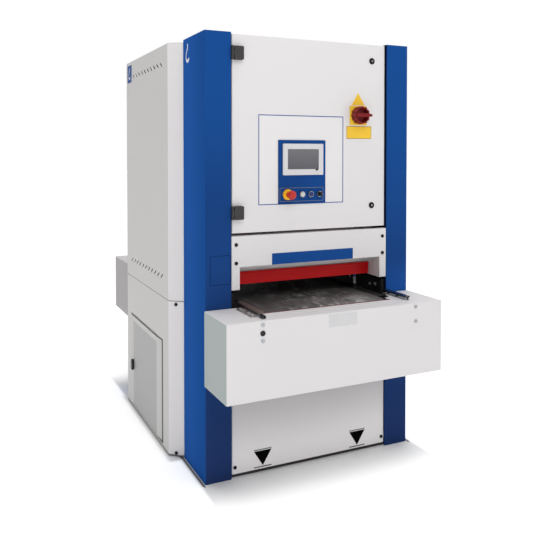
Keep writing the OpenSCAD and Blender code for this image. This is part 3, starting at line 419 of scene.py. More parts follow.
# electrics door: a whiter field inside the printed frame
def doorSheet(name, colour, look):
    f = Finish(name)
    cloud = grain(f, sheetCoat["cloud"])
    field = frontFacing(f)
    for axis in ("x", "z"):
        low, high = [v / 1000 for v in look[axis]]
        field = field * within(f, axisOf(f, axis.upper()), low, high)
    base = tint(f, field, rgba(colour), rgba(look["field"]))
    base = tint(f, cloud * 0.05, base, rgba(colour, 0.8))
    return sheetSurface(f, base, glossOf(cloud))


# side covers: greyer flats, faces that do not look sideways painted lighter (painted light), a dark painted
# shade line along the floor
def coverSheet(name, flat, look):
    f = Finish(name)
    cloud = grain(f, sheetCoat["cloud"])
    soil = soilOf(f, 0.025, 0.02)
    sideways = normalOf(f, "X")
    broad = between(f, sideways * sideways, 0.55, 0.90)
    # painted light: faces that do not look sideways, such as the slanted corner folds, take a lighter tone
    base = tint(f, broad, rgba(look["litFold"]), rgba(flat))
    base = tint(f, cloud * 0.06, base, rgba(flat, 0.8))
    base = tint(f, soil, base, rgba(sheetCoat["dust"]))
    # painted shade: a dark line where the cover meets the floor
    foot = 1 - past(f, axisOf(f, "Z"), look["contactShadeZ"], 0.002)
    base = tint(f, foot * 0.8, base, rgba(look["contactShade"]))
    return sheetSurface(f, base, glossOf(cloud) + soil * 0.5)


# lock insert: black barrel with a bright key post
def lockFace(name, look):
    f = Finish(name)
    x, z = axisOf(f, "X"), axisOf(f, "Z")
    bright = 0
    for lockZ in look["z"]:
        away = ((x - look["x"]) ** 2.0 + (z - lockZ) ** 2.0) ** 0.5
        bright = bright + (1 - between(f, away, look["post"], look["post"] + 0.0004))
    scratch = grain(f, 300.0)
    base = tint(f, bright, rgba(look["barrel"]), rgba(look["key"]))
    return f.surface({"Base Color": base, "Metallic": bright, "Roughness": 0.26 + scratch * 0.1,
                      "Normal": bump(f, scratch, 0.06, 0.0003), "Specular IOR Level": 0.15})


# control gear: pale drives with dark feet, a plated supply, labelled contactors, terminals in colours
def gearPlastic(name, look):
    f = Finish(name)
    x, z, ahead = axisOf(f, "X"), axisOf(f, "Z"), frontFacing(f)
    cloud = plasticCloud(f)
    base = shaded(f, cloud, look["body"], 0.9, 1.08)
    upper = between(f, z, look["upperZ"], look["upperZ"] + 0.001)
    drives = upper * (1 - between(f, x, look["supplyX"], look["supplyX"] + 0.001))
    base = tint(f, drives, base, rgba(look["drive"]))
    feet = drives * (1 - between(f, z, look["footZ"], look["footZ"] + 0.002))
    base = tint(f, feet, base, rgba(look["body"], 0.5))
    for middle in look["driveX"]:
        for half, span, tone in ((look["padHalf"], look["padZ"], rgba(look["body"], 0.6)),
                                 (look["displayHalf"], look["displayZ"], rgba(look["display"]))):
            area = within(f, x, middle - half, middle + half) * within(f, z, *span) * ahead
            base = tint(f, area, base, tone)
    base = tint(f, upper - drives, base, rgba(look["supply"]))
    base = tint(f, within(f, z, *look["labelZ"]) * ahead, base, rgba(look["label"]))
    strip = 1 - between(f, z, look["stripZ"], look["stripZ"] + 0.001)
    base = tint(f, strip, base, rgba(look["terminal"]))
    count = (x - look["stripX"]) / look["pitch"]
    for number, colour in look["colours"]:
        base = tint(f, strip * within(f, count, number, number + 1, 0.03), base, rgba(colour))
    return plasticSurface(f, base, 0.42 + cloud * 0.1, 0.2, 0.35)


whiteTone = (0.735, 0.716, 0.719)
coverTone = (0.612, 0.601, 0.589)
frameBlack = (0.010, 0.010, 0.011)
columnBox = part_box("front_columns")
# column blue: the foot and head tones are painted shade by height, the side-face tones painted light, the
# inward tone painted shade, the tone above the table painted light, the half-height dip painted shade
columnLook = {"from": -0.1, "to": 1.75, "foot": (0.0185, 0.041, 0.138), "head": (0.0110, 0.074, 0.290),
              "corner": (0.0150, 0.090, 0.345), "edge": (0.0230, 0.114, 0.435), "bend": columnBox[0].y,
              "gap": (0.006, 0.010, 0.036), "seam": (0.030, 0.070, 0.225), "inner": columnBox[1].x - 0.126,
              "bounceLight": (0.018, 0.100, 0.400), "nearZ": (0.76, 0.98), "leftShade": 0.24, "dipZ": (0.90, 1.20, 1.75),
              "seamZ": 0.65, "tableZ": 0.71, "shine": 0.0}
# lower panel: the foot and head tones are painted light and shade, darker just under the table box
panelLook = {"from": -0.02, "to": 0.42, "foot": (0.95, 0.925, 0.93), "head": (0.50, 0.488, 0.497),
             "corner": whiteTone, "edge": whiteTone, "gap": whiteTone, "seam": whiteTone,
             "bend": 0.0, "inner": 0.0, "seamZ": 0.65, "shine": 0.3}
beltLook = {"dark": (0.048, 0.046, 0.045), "worn": (0.084, 0.081, 0.078), "filmColour": (0.30, 0.295, 0.285),
            "dustColour": (0.56, 0.55, 0.53), "film": 0.85, "dust": 0.8,
            "middle": 0.06, "clear": 0.06, "wide": 0.30}
clothLook = {"grit": 620.0, "grain": (0.34, 0.15, 0.085), "resin": (0.13, 0.05, 0.03),
             "load": (0.45, 0.36, 0.26)}
# screen: the low and high tones are a painted reflection, lighter towards the top
screenLook = {"z": (1.38, 1.49), "low": (0.100, 0.100, 0.115), "high": (0.155, 0.155, 0.170)}
ringLook = {"yellowX": -0.1, "blackX": 0.2, "bright": (0.36, 0.37, 0.39), "yellow": (0.93, 0.50, 0.03),
            "black": (0.012, 0.012, 0.013)}
railLook = {"stopY": -0.957, "stopZ": 0.7752, "barX": -0.3674, "barZ": 0.77875,
            "plated": ((0.66, 0.67, 0.66), (0.45, 0.47, 0.48)),
            "brown": ((0.17, 0.135, 0.125), (0.24, 0.20, 0.185)),
            "oiled": ((0.012, 0.012, 0.014), (0.035, 0.033, 0.034))}
sensorLook = {"capZ": 0.825, "stemZ": 0.790, "body": (0.78, 0.80, 0.83), "cap": (0.05, 0.25, 0.80),
              "stem": (0.05, 0.05, 0.055)}
# side door look: the field tone is painted shade
sideDoorLook = {"front": (0.106, 0.118), "top": (0.052, 0.040), "rear": (0.060, 0.020),
                "field": (0.435, 0.428, 0.430)}
# cover look: the fold tone is painted light, the dark tone at the floor is painted shade
coverLook = {"litFold": (0.900, 0.866, 0.846), "contactShade": (0.06, 0.06, 0.06), "contactShadeZ": 0.010}
doorFrame = {"x": (-279, 170), "z": (1227, 1640), "line": 0.0042, "field": (0.778, 0.759, 0.762)}
doorLocks = {"x": 0.333, "z": (1.208, 1.915), "post": 0.0038, "barrel": (0.016, 0.016, 0.017),
             "key": (0.66, 0.66, 0.67), "rim": 0.0310, "rimLine": 0.0021, "rimTall": 0.0016}
gearLook = {"body": (0.070, 0.074, 0.080), "drive": (0.30, 0.31, 0.32), "supply": (0.50, 0.51, 0.52),
            "label": (0.58, 0.58, 0.56), "terminal": (0.40, 0.39, 0.36), "display": (0.16, 0.20, 0.15),
            "upperZ": 1.53, "supplyX": 0.085, "footZ": 1.64, "driveX": (-0.22, -0.02),
            "padHalf": 0.044, "padZ": (1.72, 1.815), "displayHalf": 0.034, "displayZ": (1.775, 1.805),
            "labelZ": (1.434, 1.449), "stripZ": 1.33, "stripX": -0.30, "pitch": 0.34 / 14,
            "colours": ((3, (0.03, 0.10, 0.42)), (8, (0.03, 0.10, 0.42)), (13, (0.16, 0.36, 0.05)))}

# one finish for each material slot of the record
finishes = {
    "blue_paint": columnPaint("columnBlue", columnLook),
    "white_coat": coatedSheet("coverWhite", whiteTone, 0.42, 0.025, 0.3),
    "red_paint": coatedSheet("guardRed", (0.68, 0.007, 0.009), 0.30, 0.012, 0.12),
    "dark_paint": castPaint("frameBlack", frameBlack, 0.50, 0.2),
    "grey_paint": castPaint("headGrey", (0.17, 0.18, 0.19), 0.42),
    "motor_paint": castPaint("motorBlueGrey", (0.075, 0.12, 0.18), 0.40),
    "zinc": bareMetal("zincPlate", (0.62, 0.63, 0.65), 0.34, (1.0, 1.0, 0.2), 0.6),
    "steel": bareMetal("turnedSteel", (0.56, 0.57, 0.58), 0.24, (3.0, 0.3, 0.3)),
    "black_steel": railMetal("guideBar", railLook),
    "belt_rubber": feedRubber("feedBeltRubber", beltLook),
    "roller_rubber": rollerRubber("rollerRubber", (0.018, 0.018, 0.020)),
    "abrasive": sandingCloth("sandingCloth", clothLook),
    "hinge_black": moulded("hingeBlack", (0.041, 0.039, 0.040), 0.45, 0.3),
    "black_plastic": moulded("gripBlack", (0.014, 0.014, 0.015), 0.38, 0.25),
    "grey_plastic": moulded("bezelGrey", (0.66, 0.65, 0.665), 0.36, 0.1),
    "gear_plastic": moulded("gearGrey", (0.075, 0.08, 0.088), 0.44, 0.25),
    "screen": darkScreen("screenGlass", screenLook),
    "yellow_plastic": moulded("plateYellow", (0.90, 0.56, 0.035), 0.36, 0.08),
    "isolator_red": moulded("knobRed", (0.20, 0.011, 0.013), 0.34, 0.12, 0.2),
    "signal_red": moulded("stopRed", (0.50, 0.030, 0.022), 0.30, 0.05, 0.3),
    "white_plastic": moulded("capWhite", (0.56, 0.575, 0.57), 0.32, 0.05),
    "blue_plastic": moulded("capBlue", (0.012, 0.030, 0.13), 0.30, 0.05),
    "chrome": bareMetal("lockChrome", (0.62, 0.62, 0.63), 0.22, (1.0, 1.0, 1.0)),
    "collar": ringMetal("doorRings", ringLook),
}
coverCoat = coverSheet("coverGrey", coverTone, coverLook)
lockBlack = lockFace("lockFace", doorLocks)
# nodes whose finish differs from the plain one of their slot
special = {
    "edge_sensor": sensorSkin("sensorSkin", sensorLook),
    "lift_screws": threadedSteel("spindleSteel", (0.32, 0.30, 0.27), (0.56, 0.56, 0.55)),
    "left_lower_door": fieldSheet("sideDoorCoat", coverTone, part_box("left_lower_door"), sideDoorLook),
    # box ends painted darker: painted shade
    "front_box": boxCoat("boxCoat", whiteTone, (0.395, 0.445, 0.438)),
    "rear_box": boxCoat("rearBoxCoat", whiteTone, (0.380, 0.362, 0.362)),
    "lower_panels": columnPaint("panelWhite", panelLook),
    "front_door": doorSheet("doorWhite", (0.750, 0.731, 0.734), doorFrame),
    "table_frame": bedPaint("bedBlack", frameBlack, (0.050, 0.048, 0.047)),
    "control_gear": gearPlastic("gearCases", gearLook),
    "door_lock_upper": lockBlack,
    "door_lock_lower": lockBlack,
    "belt_door": coverCoat,
}
for place in ("left_upper", "left_lower", "right_upper", "right_lower"):
    special[place + "_cover"] = coverCoat
# finishes of the small pieces added below
blackMark = moulded("markBlack", (0.003, 0.003, 0.003), 0.5, 0.05, 0.0)
greyMark = moulded("markGrey", (0.20, 0.20, 0.21), 0.5, 0.05)
paleMark = moulded("markPale", (0.72, 0.74, 0.78), 0.45, 0.05)
rimBrown = moulded("rimBrown", (0.24, 0.17, 0.035), 0.45, 0.05)
lineBlue = moulded("lineBlue", (0.030, 0.085, 0.32), 0.45, 0.05)
seamBlue = moulded("seamBlue", (0.004, 0.012, 0.045), 0.6, 0.05, 0.05)
plateBlue = coatedSheet("plateBlue", (0.010, 0.068, 0.275), 0.32, 0.0, 0.03)
screwBlack = bareMetal("screwBlack", (0.030, 0.030, 0.032), 0.34, (1.0, 1.0, 1.0))
screwZinc = bareMetal("screwZinc", (0.52, 0.55, 0.57), 0.26, (1.0, 1.0, 1.0), 0.4)
gasketRubber = rollerRubber("gasketRubber", (0.014, 0.014, 0.015))
stripWhite = coatedSheet("noseWhite", (0.72, 0.71, 0.71), 0.5, 0.03, 0.2)
lipRed = moulded("lipRed", (0.15, 0.018, 0.026), 0.4, 0.1)
bareLabel = moulded("bareLabel", (0.655, 0.65, 0.66), 0.42, 0.04)
ductGrey = moulded("ductGrey", (0.34, 0.36, 0.38), 0.5, 0.15)
print("finishes made:", len(bpy.data.materials))

slotOf = {p["node"]: p["material_slot"] for p in frame["record"]["subparts"]}
for node, obj in parts.items():
    obj.data.materials.clear()
    obj.data.materials.append(special.get(node, finishes[slotOf[node]]))
print("machine painted")

# mesh making: how deep pieces sink into what carries them, how thick print is, which angle is an edge
meshing = {"markSink": 0.0002, "plateSink": 0.0003, "screwSink": 0.0004, "print": 0.0003,
           "edgeAngle": 32}


def facing(point, normal, up=(0, 0, 1)):
    z = Vector(normal).normalized()
    y = Vector(up)
    x = y.cross(z).normalized()
    y = z.cross(x)
    m = Matrix((x, y, z)).transposed().to_4x4()
    m.translation = Vector(point)
    return m


def loft(bm, loops, capStart=True, capEnd=True):
    rows = [[bm.verts.new(p) for p in loop] for loop in loops]
    for a, b in zip(rows, rows[1:]):
        for i in range(len(a)):
            j = (i + 1) % len(a)
            bm.faces.new((a[i], a[j], b[j], b[i]))
    if capStart:
        bm.faces.new(list(reversed(rows[0])))
    if capEnd:
        bm.faces.new(rows[-1])


def roundRect(w, h, r, inset=0.0, steps=5):
    w, h, r = w / 2 - inset, h / 2 - inset, max(r - inset, 0.0002)
    points = []
    for cx, cy, start in ((w - r, h - r, 0), (r - w, h - r, 90), (r - w, r - h, 180), (w - r, r - h, 270)):
        for i in range(steps + 1):
            a = math.radians(start + 90 * i / steps)
            points.append(Vector((cx + r * math.cos(a), cy + r * math.sin(a), 0)))
    return points


def lifted(points, z, place):
    return [place @ Vector((p.x, p.y, z)) for p in points]


def shrunk(points, share):
    mid = sum(points, Vector()) / len(points)
    return [mid + (p - mid) * share for p in points]


# middle and size in metres of a field given in millimetres
def fieldOf(across, upward):
    return (sum(across) / 2000, sum(upward) / 2000,
            (across[1] - across[0]) / 1000, (upward[1] - upward[0]) / 1000)


def finishPiece(name, bm, material, body):
    bmesh.ops.recalc_face_normals(bm, faces=bm.faces)
    mesh = bpy.data.meshes.new(name)
    bm.to_mesh(mesh)
    bm.free()
    mesh.materials.append(material)
    mesh.polygons.foreach_set("use_smooth", [True] * len(mesh.polygons))
    mesh.set_sharp_from_angle(angle=math.radians(meshing["edgeAngle"]))
    obj = bpy.data.objects.new(name, mesh)
    bpy.context.scene.collection.objects.link(obj)
    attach(obj, body)


# flat plate with a soft edge, its back let a little into what carries it
def plateInto(bm, place, outline, thick, soft):
    small = shrunk(outline, 1 - soft / max(p.length for p in outline))
    loft(bm, [lifted(outline, -meshing["plateSink"], place), lifted(outline, thick - soft, place),
              lifted(small, thick, place)])


# printed mark of any outline
def markInto(bm, place, points, thick=0.0005):
    outline = [Vector((x, y, 0)) for x, y in points]
    loft(bm, [lifted(outline, -meshing["markSink"], place), lifted(outline, thick, place)])


# bar of one section, from the left to the right
def barInto(bm, profile, half):
    loft(bm, [[Vector((x, y, z)) for y, z in profile] for x in (-half, half)])


def ringAt(place, radius, z, segs):
    loop = []
    for i in range(segs):
        a = 2 * math.pi * i / segs
        r = radius(a) if callable(radius) else radius
        loop.append(place @ Vector((r * math.cos(a), r * math.sin(a), z)))
    return loop


# screw head with its hexagon socket
def screwInto(bm, place, r, tall, socket, segs=24):
    def hexagon(a):
        return socket / math.cos((a + math.pi / 6) % (math.pi / 3) - math.pi / 6)

    rings = [(r, -meshing["screwSink"]), (r, tall * 0.35), (r * 0.93, tall * 0.72), (r * 0.72, tall),
             (hexagon, tall), (hexagon, tall * 0.2)]
    loft(bm, [ringAt(place, radius, z, segs) for radius, z in rings])


# washer under a screw, or a plain turned plug
def discInto(bm, place, profile, segs=28):
    loft(bm, [ringAt(place, r, z, segs) for r, z in profile])


# closed line of even width, such as a printed frame
def frameInto(bm, place, w, h, line, thick=meshing["print"], r=0.002):
    outer = roundRect(w, h, r)
    inner = roundRect(w, h, r, line)
    under = -meshing["markSink"]
    loft(bm, [lifted(outer, under, place), lifted(outer, thick, place), lifted(inner, thick, place),
              lifted(inner, under, place), lifted(outer, under, place)], False, False)
    bmesh.ops.remove_doubles(bm, verts=bm.verts, dist=1e-7)


# flat ribbon along points, widths given at each
def ribbonInto(bm, place, path, widths, thick):
    loops = []
    for i, p in enumerate(path):
        a = path[max(i - 1, 0)]
        b = path[min(i + 1, len(path) - 1)]
        side = Vector((a.y - b.y, b.x - a.x, 0)).normalized() * widths[i] / 2
        low, high = p - side, p + side
        loops.append(lifted([low, high], -meshing["markSink"], place) + lifted([high, low], thick, place))
    loft(bm, loops)


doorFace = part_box("front_door")[0].y
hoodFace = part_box("infeed_hood")[0].y
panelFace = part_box("lower_panels")[0].y
columnFace = columnBox[0].y
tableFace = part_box("front_box")[0].y
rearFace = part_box("rear_upper_panel")[1].y
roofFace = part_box("roof_panel")[1].z
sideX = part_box("left_upper_cover")[0].x
front, left, back, top = (0, -1, 0), (-1, 0, 0), (0, 1, 0), (0, 0, 1)


# rectangular plate on a face that looks to the front
def plateOn(bm, look, face):
    cx, cz, w, h = fieldOf(look["x"], look["z"])
    plateInto(bm, facing((cx, face, cz), front), roundRect(w, h, look["round"]), look["thick"], look["soft"])


# black socket screws that hold hood, panels, corners, roof and rear
blackScrews = {"r": 0.0085, "tall": 0.0042, "socket": 0.0036, "roofScale": 0.9,
               "hood": ((-392, 392), (1054, 971)), "panel": ((-395, 395), (46,)),
               "rear": ((-396, 396), (900, 1250, 1600, 1950)), "roof": ((-560, -190, 190, 560), (-370, 405)),
               "cornerZ": (0.738, 0.018), "cornerWay": (0.634, 0.773),
               "cornerFront": 0.325, "cornerRear": 0.025}


def blackScrewGroup(name, places, scale=1.0):
    bm = bmesh.new()
    r, tall, socket = [blackScrews[key] * scale for key in ("r", "tall", "socket")]
    for place in places:
        screwInto(bm, place, r, tall, socket)
    finishPiece(name, bm, screwBlack, "frame")


def onFace(rows, face, way):
    return [facing((x / 1000, face, z / 1000), way) for x in rows[0] for z in rows[1]]


blackScrewGroup("hoodScrews", onFace(blackScrews["hood"], hoodFace, front))
blackScrewGroup("lowerPanelScrews", onFace(blackScrews["panel"], panelFace, front))
slantX = (columnBox[1].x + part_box("right_upper_cover")[1].x) / 2
slantFront = columnFace + blackScrews["cornerFront"]
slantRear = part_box("rear_columns")[0].y - blackScrews["cornerRear"]
wayX, wayY = blackScrews["cornerWay"]
cornerPlaces = []
for sx in (-1, 1):
    for sy, y in ((-1, slantFront), (1, slantRear)):
        for z in blackScrews["cornerZ"]:
            cornerPlaces.append(facing((sx * slantX, y, z), (sx * wayX, sy * wayY, 0)))
blackScrewGroup("cornerScrews", cornerPlaces)
blackScrewGroup("rearPanelScrews", onFace(blackScrews["rear"], rearFace, back))
blackScrewGroup("roofScrews", [facing((x / 1000, y / 1000, roofFace), top, back)
                               for x in blackScrews["roof"][0] for y in blackScrews["roof"][1]],
                blackScrews["roofScale"])

spigotScrews = {"x": 0.207, "z": 1.657, "circle": 0.083, "count": 6, "flange": 0.003,
                "size": (0.0055, 0.003, 0.0024)}
bm = bmesh.new()
for sx in (-1, 1):
    for k in range(spigotScrews["count"]):
        a = 2 * math.pi * (k + 0.5) / spigotScrews["count"]
        x = sx * spigotScrews["x"] + spigotScrews["circle"] * math.cos(a)
        z = spigotScrews["z"] + spigotScrews["circle"] * math.sin(a)
        screwInto(bm, facing((x, rearFace + spigotScrews["flange"], z), back), *spigotScrews["size"], 18)
finishPiece("spigotScrews", bm, screwZinc, "frame")
print("screws set")

# bare plate on the hood
hoodPlate = {"x": (-215, 220), "z": (953.5, 1005), "round": 0.001, "thick": 0.0008, "soft": 0.0003}
bm = bmesh.new()
plateOn(bm, hoodPlate, hoodFace)
finishPiece("hoodPlateBare", bm, plateBlue, "frame")

# where the forks of a truck go in: an arrow on a line, a bar above
forkMark = {"x": (-0.257, 0.253), "top": 0.099, "tip": 0.030, "half": 0.044,
            "line": (-0.007, -0.003), "bar": (0.003, 0.008)}
arrows, bars = bmesh.new(), bmesh.new()
half = forkMark["half"]
for x in forkMark["x"]:
    place = facing((x, panelFace, 0), front)
    markInto(arrows, place, [(-half, forkMark["top"]), (0, forkMark["tip"]), (half, forkMark["top"])])
    for bm, level, span in ((arrows, forkMark["tip"], forkMark["line"]),
                            (bars, forkMark["top"], forkMark["bar"])):
        low, high = [level + v for v in span]
        markInto(bm, place, [(-half, low), (half, low), (half, high), (-half, high)])
finishPiece("forkArrows", arrows, blackMark, "frame")
finishPiece("forkBars", bars, greyMark, "frame")

# black foam strip in the gap between panels and floor, a dark strip where that gap falls in shade: painted
# shade
panelGapShade = {"half": 0.4125, "high": 0.0165, "behind": 0.006, "thick": 0.012, "low": 0.0006,
             "swell": 0.0008, "swellFrom": 0.0030, "swellTo": 0.0099}
bm = bmesh.new()
for face, way in ((panelFace, 1), (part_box("lower_panels")[1].y, -1)):
    y0 = face + way * panelGapShade["behind"]
    y1 = y0 + way * panelGapShade["thick"]
    ySwell = y0 - way * panelGapShade["swell"]
    low, high = panelGapShade["low"], panelGapShade["high"]
    barInto(bm, [(y0, low), (y1, low), (y1, high), (y0, high), (ySwell, panelGapShade["swellTo"]),
                 (ySwell, panelGapShade["swellFrom"])], panelGapShade["half"])
finishPiece("panelFootShadeStrips", bm, gasketRubber, "frame")

# cover plate let into the left column, plugs in the right one
columnCover = {"x": (-517, -419.5), "z": (880, 1010), "seam": 0.0022, "play": 0.004, "thick": 0.0008}
cx, cz, w, h = fieldOf(columnCover["x"], columnCover["z"])
place = facing((cx, columnFace, cz), front)
bm = bmesh.new()
play = columnCover["play"]
plateInto(bm, place, roundRect(w - play, h - play, 0.003), columnCover["thick"], 0.0004)
finishPiece("columnCoverPlate", bm, finishes["blue_paint"], "frame")
bm = bmesh.new()
frameInto(bm, place, w, h, columnCover["seam"], r=0.004)
finishPiece("columnCoverSeam", bm, seamBlue, "frame")
columnPlugs = {"at": ((454, 515), (948, 1035)),
               "profile": ((0.0155, -0.0003), (0.0155, 0.0008), (0.0148, 0.0014), (0.0110, 0.0014),
                           (0.0104, 0.0009), (0.002, 0.0009))}
bm = bmesh.new()
for place in onFace(columnPlugs["at"], columnFace, front):
    discInto(bm, place, columnPlugs["profile"])
finishPiece("columnPlugs", bm, finishes["blue_paint"], "frame")

# plain hook sign where a crane takes hold, in shares of its height
hookSigns = {"columnY": 0.231, "columnZ": 1.936, "tall": 0.088, "sideTall": 0.066, "sideRise": 0.006,
             "labelY": (1056, 1152), "labelZ": (1871, 1971), "labelThick": 0.0006, "thick": 0.0004,
             "bow": 0.26, "bowDown": 0.24, "start": 205, "sweep": 215, "points": 26,
             "shank": ((0.12, 0.07), (0.02, 0.15), (0.0, 0.27), (0.0, 0.42)), "shankWide": 0.12}


def hookInto(bm, place, tall):
    path, widths, bow = [], [], hookSigns["bow"]
    for i in range(hookSigns["points"]):
        a = math.radians(hookSigns["start"] + hookSigns["sweep"] * i / (hookSigns["points"] - 1))
        path.append(Vector((-bow * math.cos(a), bow * math.sin(a) - hookSigns["bowDown"], 0)))
        widths.append(tall * (0.085 + 0.085 * math.sin(math.pi * min(1.0, (i + 2) / 20))))
    for x, y in hookSigns["shank"]:
        path.append(Vector((-x, y, 0)))
        widths.append(tall * hookSigns["shankWide"])
    ribbonInto(bm, place, [p * tall for p in path], widths, hookSigns["thick"])


bm = bmesh.new()
for sx in (-1, 1):
    signAt = (sx * columnBox[1].x, hookSigns["columnY"] + columnFace, hookSigns["columnZ"])
    hookInto(bm, facing(signAt, (sx, 0, 0)), hookSigns["tall"])
finishPiece("columnHookSigns", bm, paleMark, "frame")
cy, cz, w, h = fieldOf(hookSigns["labelY"], hookSigns["labelZ"])
cy = cy + columnFace
bm = bmesh.new()
plateInto(bm, facing((sideX, cy, cz), left), roundRect(w, h, 0.008), hookSigns["labelThick"], 0.0003)
finishPiece("sideHookPlate", bm, plateBlue, "frame")
bm = bmesh.new()
signAt = (sideX - hookSigns["labelThick"], cy, cz + hookSigns["sideRise"])
hookInto(bm, facing(signAt, left), hookSigns["sideTall"])
finishPiece("sideHookSign", bm, paleMark, "frame")
print("cabinet marks set")

# electrics door: printed frames, bare yellow plates, lock rims, screen tab
bm = bmesh.new()
cx, cz, w, h = fieldOf(doorFrame["x"], doorFrame["z"])
frameInto(bm, facing((cx, doorFace, cz), front), w, h, doorFrame["line"])
finishPiece("doorPrintedFrame", bm, lineBlue, "front_door")
buttonFrame = {"x": -0.057, "z": 1.2715, "wide": 0.230, "tall": 0.064, "line": 0.0018}
bm = bmesh.new()
frameInto(bm, facing((buttonFrame["x"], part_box("control_plate")[0].y, buttonFrame["z"]), front),
          buttonFrame["wide"], buttonFrame["tall"], buttonFrame["line"])
finishPiece("buttonPrintedFrame", bm, greyMark, "front_door")

yellowTriangle = {"x": 0.254, "z": (1.697, 1.757), "half": 0.037, "thick": 0.0006}
yellowPlate = {"x": (188, 330), "z": (1534, 1595), "round": 0.002, "thick": 0.0010, "soft": 0.0004,
               "rim": 0.0022, "rimIn": 0.001, "rimThick": 0.0002}
bm = bmesh.new()
low, high = yellowTriangle["z"]
mid = (low * 2 + high) / 3
half = yellowTriangle["half"]
triangle = [Vector((-half, low - mid, 0)), Vector((half, low - mid, 0)), Vector((0, high - mid, 0))]
plateInto(bm, facing((yellowTriangle["x"], doorFace, mid), front), triangle,
          yellowTriangle["thick"], yellowTriangle["thick"])
plateOn(bm, yellowPlate, doorFace)
finishPiece("doorYellowPlates", bm, finishes["yellow_plastic"], "front_door")
bm = bmesh.new()
cx, cz, w, h = fieldOf(yellowPlate["x"], yellowPlate["z"])
frameInto(bm, facing((cx, doorFace - yellowPlate["thick"], cz), front), w - yellowPlate["rimIn"],
          h - yellowPlate["rimIn"], yellowPlate["rim"], yellowPlate["rimThick"])
finishPiece("yellowPlateRim", bm, rimBrown, "front_door")

bm = bmesh.new()
for z in doorLocks["z"]:
    frameInto(bm, facing((doorLocks["x"], doorFace, z), front), doorLocks["rim"], doorLocks["rim"],
              doorLocks["rimLine"], doorLocks["rimTall"], doorLocks["rim"] / 2)
finishPiece("lockRims", bm, finishes["black_plastic"], "front_door")

screenTab = {"x": 0.019, "z": 1.386, "wide": 0.014, "tall": 0.006, "thick": 0.0015}
bm = bmesh.new()
plateInto(bm, facing((screenTab["x"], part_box("screen_bezel")[0].y, screenTab["z"]), front),
          roundRect(screenTab["wide"], screenTab["tall"], 0.002), screenTab["thick"], 0.0005)
finishPiece("screenTab", bm, blackMark, "front_door")
print("door dressed")

# front table box: screws with washers, a plug, a bare plate
tableTrim = {"screws": ((-382, 395), (755, 688.5)), "screw": (0.0068, 0.0040, 0.0030), "seat": 0.0014,
             "washer": ((0.0098, -0.0003), (0.0098, 0.0010), (0.0092, 0.0015), (0.0060, 0.0015)),
             "plug": ((-383,), (720,)),
             "plugProfile": ((0.0118, -0.0003), (0.0118, 0.0014), (0.0108, 0.0022), (0.0078, 0.0022),
                             (0.0070, 0.0004), (0.001, 0.0004))}
tablePlate = {"x": (-69, 77), "z": (709, 765), "round": 0.002, "thick": 0.0006, "soft": 0.0003}
bm = bmesh.new()
for place in onFace(tableTrim["screws"], tableFace, front):
    discInto(bm, place, tableTrim["washer"])
for place in onFace(tableTrim["screws"], tableFace - tableTrim["seat"], front):
    screwInto(bm, place, *tableTrim["screw"])
finishPiece("tableBoxScrews", bm, screwZinc, "table")
bm = bmesh.new()
discInto(bm, onFace(tableTrim["plug"], tableFace, front)[0], tableTrim["plugProfile"])
finishPiece("tableBoxPlug", bm, finishes["black_plastic"], "table")
bm = bmesh.new()
plateOn(bm, tablePlate, tableFace)
finishPiece("tableBoxPlateBare", bm, bareLabel, "table")

# plate in front of the belt's nose, with a dark red lip along the belt
nosePlate = {"half": 0.331, "bottom": 0.7716, "soft": 0.0006, "edge": 0.0004,
             "plateY": (-190, -153), "plateTop": 0.7728,
             "lipY": (-154, -146.2), "lipTop": 0.7744}
for name, key, material, slotName in (("nosePlate", "plate", stripWhite, "white_coat"),
                                      ("noseLip", "lip", lipRed, "roller_rubber")):
    bm = bmesh.new()
    y0, y1 = [v / 1000 + columnFace for v in nosePlate[key + "Y"]]
    low, high, soft = nosePlate["bottom"], nosePlate[key + "Top"], nosePlate["soft"]
    barInto(bm, [(y0, low), (y1, low), (y1, high - soft), (y1 - soft, high), (y0 + soft, high),
                 (y0, high - nosePlate["edge"])], nosePlate["half"])
    finishPiece(name, bm, material, "table")

# slanted corner of the notch between the belt and the right guide bar
notchCorner = {"x": (0.364, 0.3895), "y": (-0.100, -0.028), "z": (0.7655, 0.7715), "soft": 0.0008}
bm = bmesh.new()
x0, x1 = notchCorner["x"]
y0, y1 = [v + columnFace for v in notchCorner["y"]]
corner = [Vector((x0, y0, 0)), Vector((x1, y0, 0)), Vector((x1, y1, 0))]
mid = sum(corner, Vector()) / 3
low, high = notchCorner["z"]
place = Matrix.Translation((mid.x, mid.y, low))
plateInto(bm, place, [p - mid for p in corner], high - low, notchCorner["soft"])
finishPiece("notchCorner", bm, stripWhite, "table")
print("table dressed")

# black rubber strip let in along the side door's front and top edges, over the bevel of its front edge: a
# dark strip where the gap falls in shade, painted shade
doorGapShade = {"front": 0.034, "top": 0.007, "rise": 0.0007, "sink": 0.0003, "short": 0.0115,
            "bevelDeep": 0.008, "bevelLong": 0.112}
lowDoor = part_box("left_lower_door")
bm = bmesh.new()
y0, y1 = lowDoor[0].y, lowDoor[0].y + doorGapShade["front"]
z0, z1 = lowDoor[0].z + doorGapShade["short"], lowDoor[1].z - doorGapShade["short"]
xTop = lowDoor[0].x
xEdge = xTop + doorGapShade["bevelDeep"]
xIn = xEdge - doorGapShade["bevelDeep"] * doorGapShade["front"] / doorGapShade["bevelLong"]
rise, sink = doorGapShade["rise"], doorGapShade["sink"]
section = [(xEdge + sink, y0), (xEdge - rise, y0), (xIn - rise, y1 - 0.001), (xIn + sink, y1)]
loft(bm, [[Vector((x, y, z)) for x, y in section] for z in (z0, z1)])
rows = []
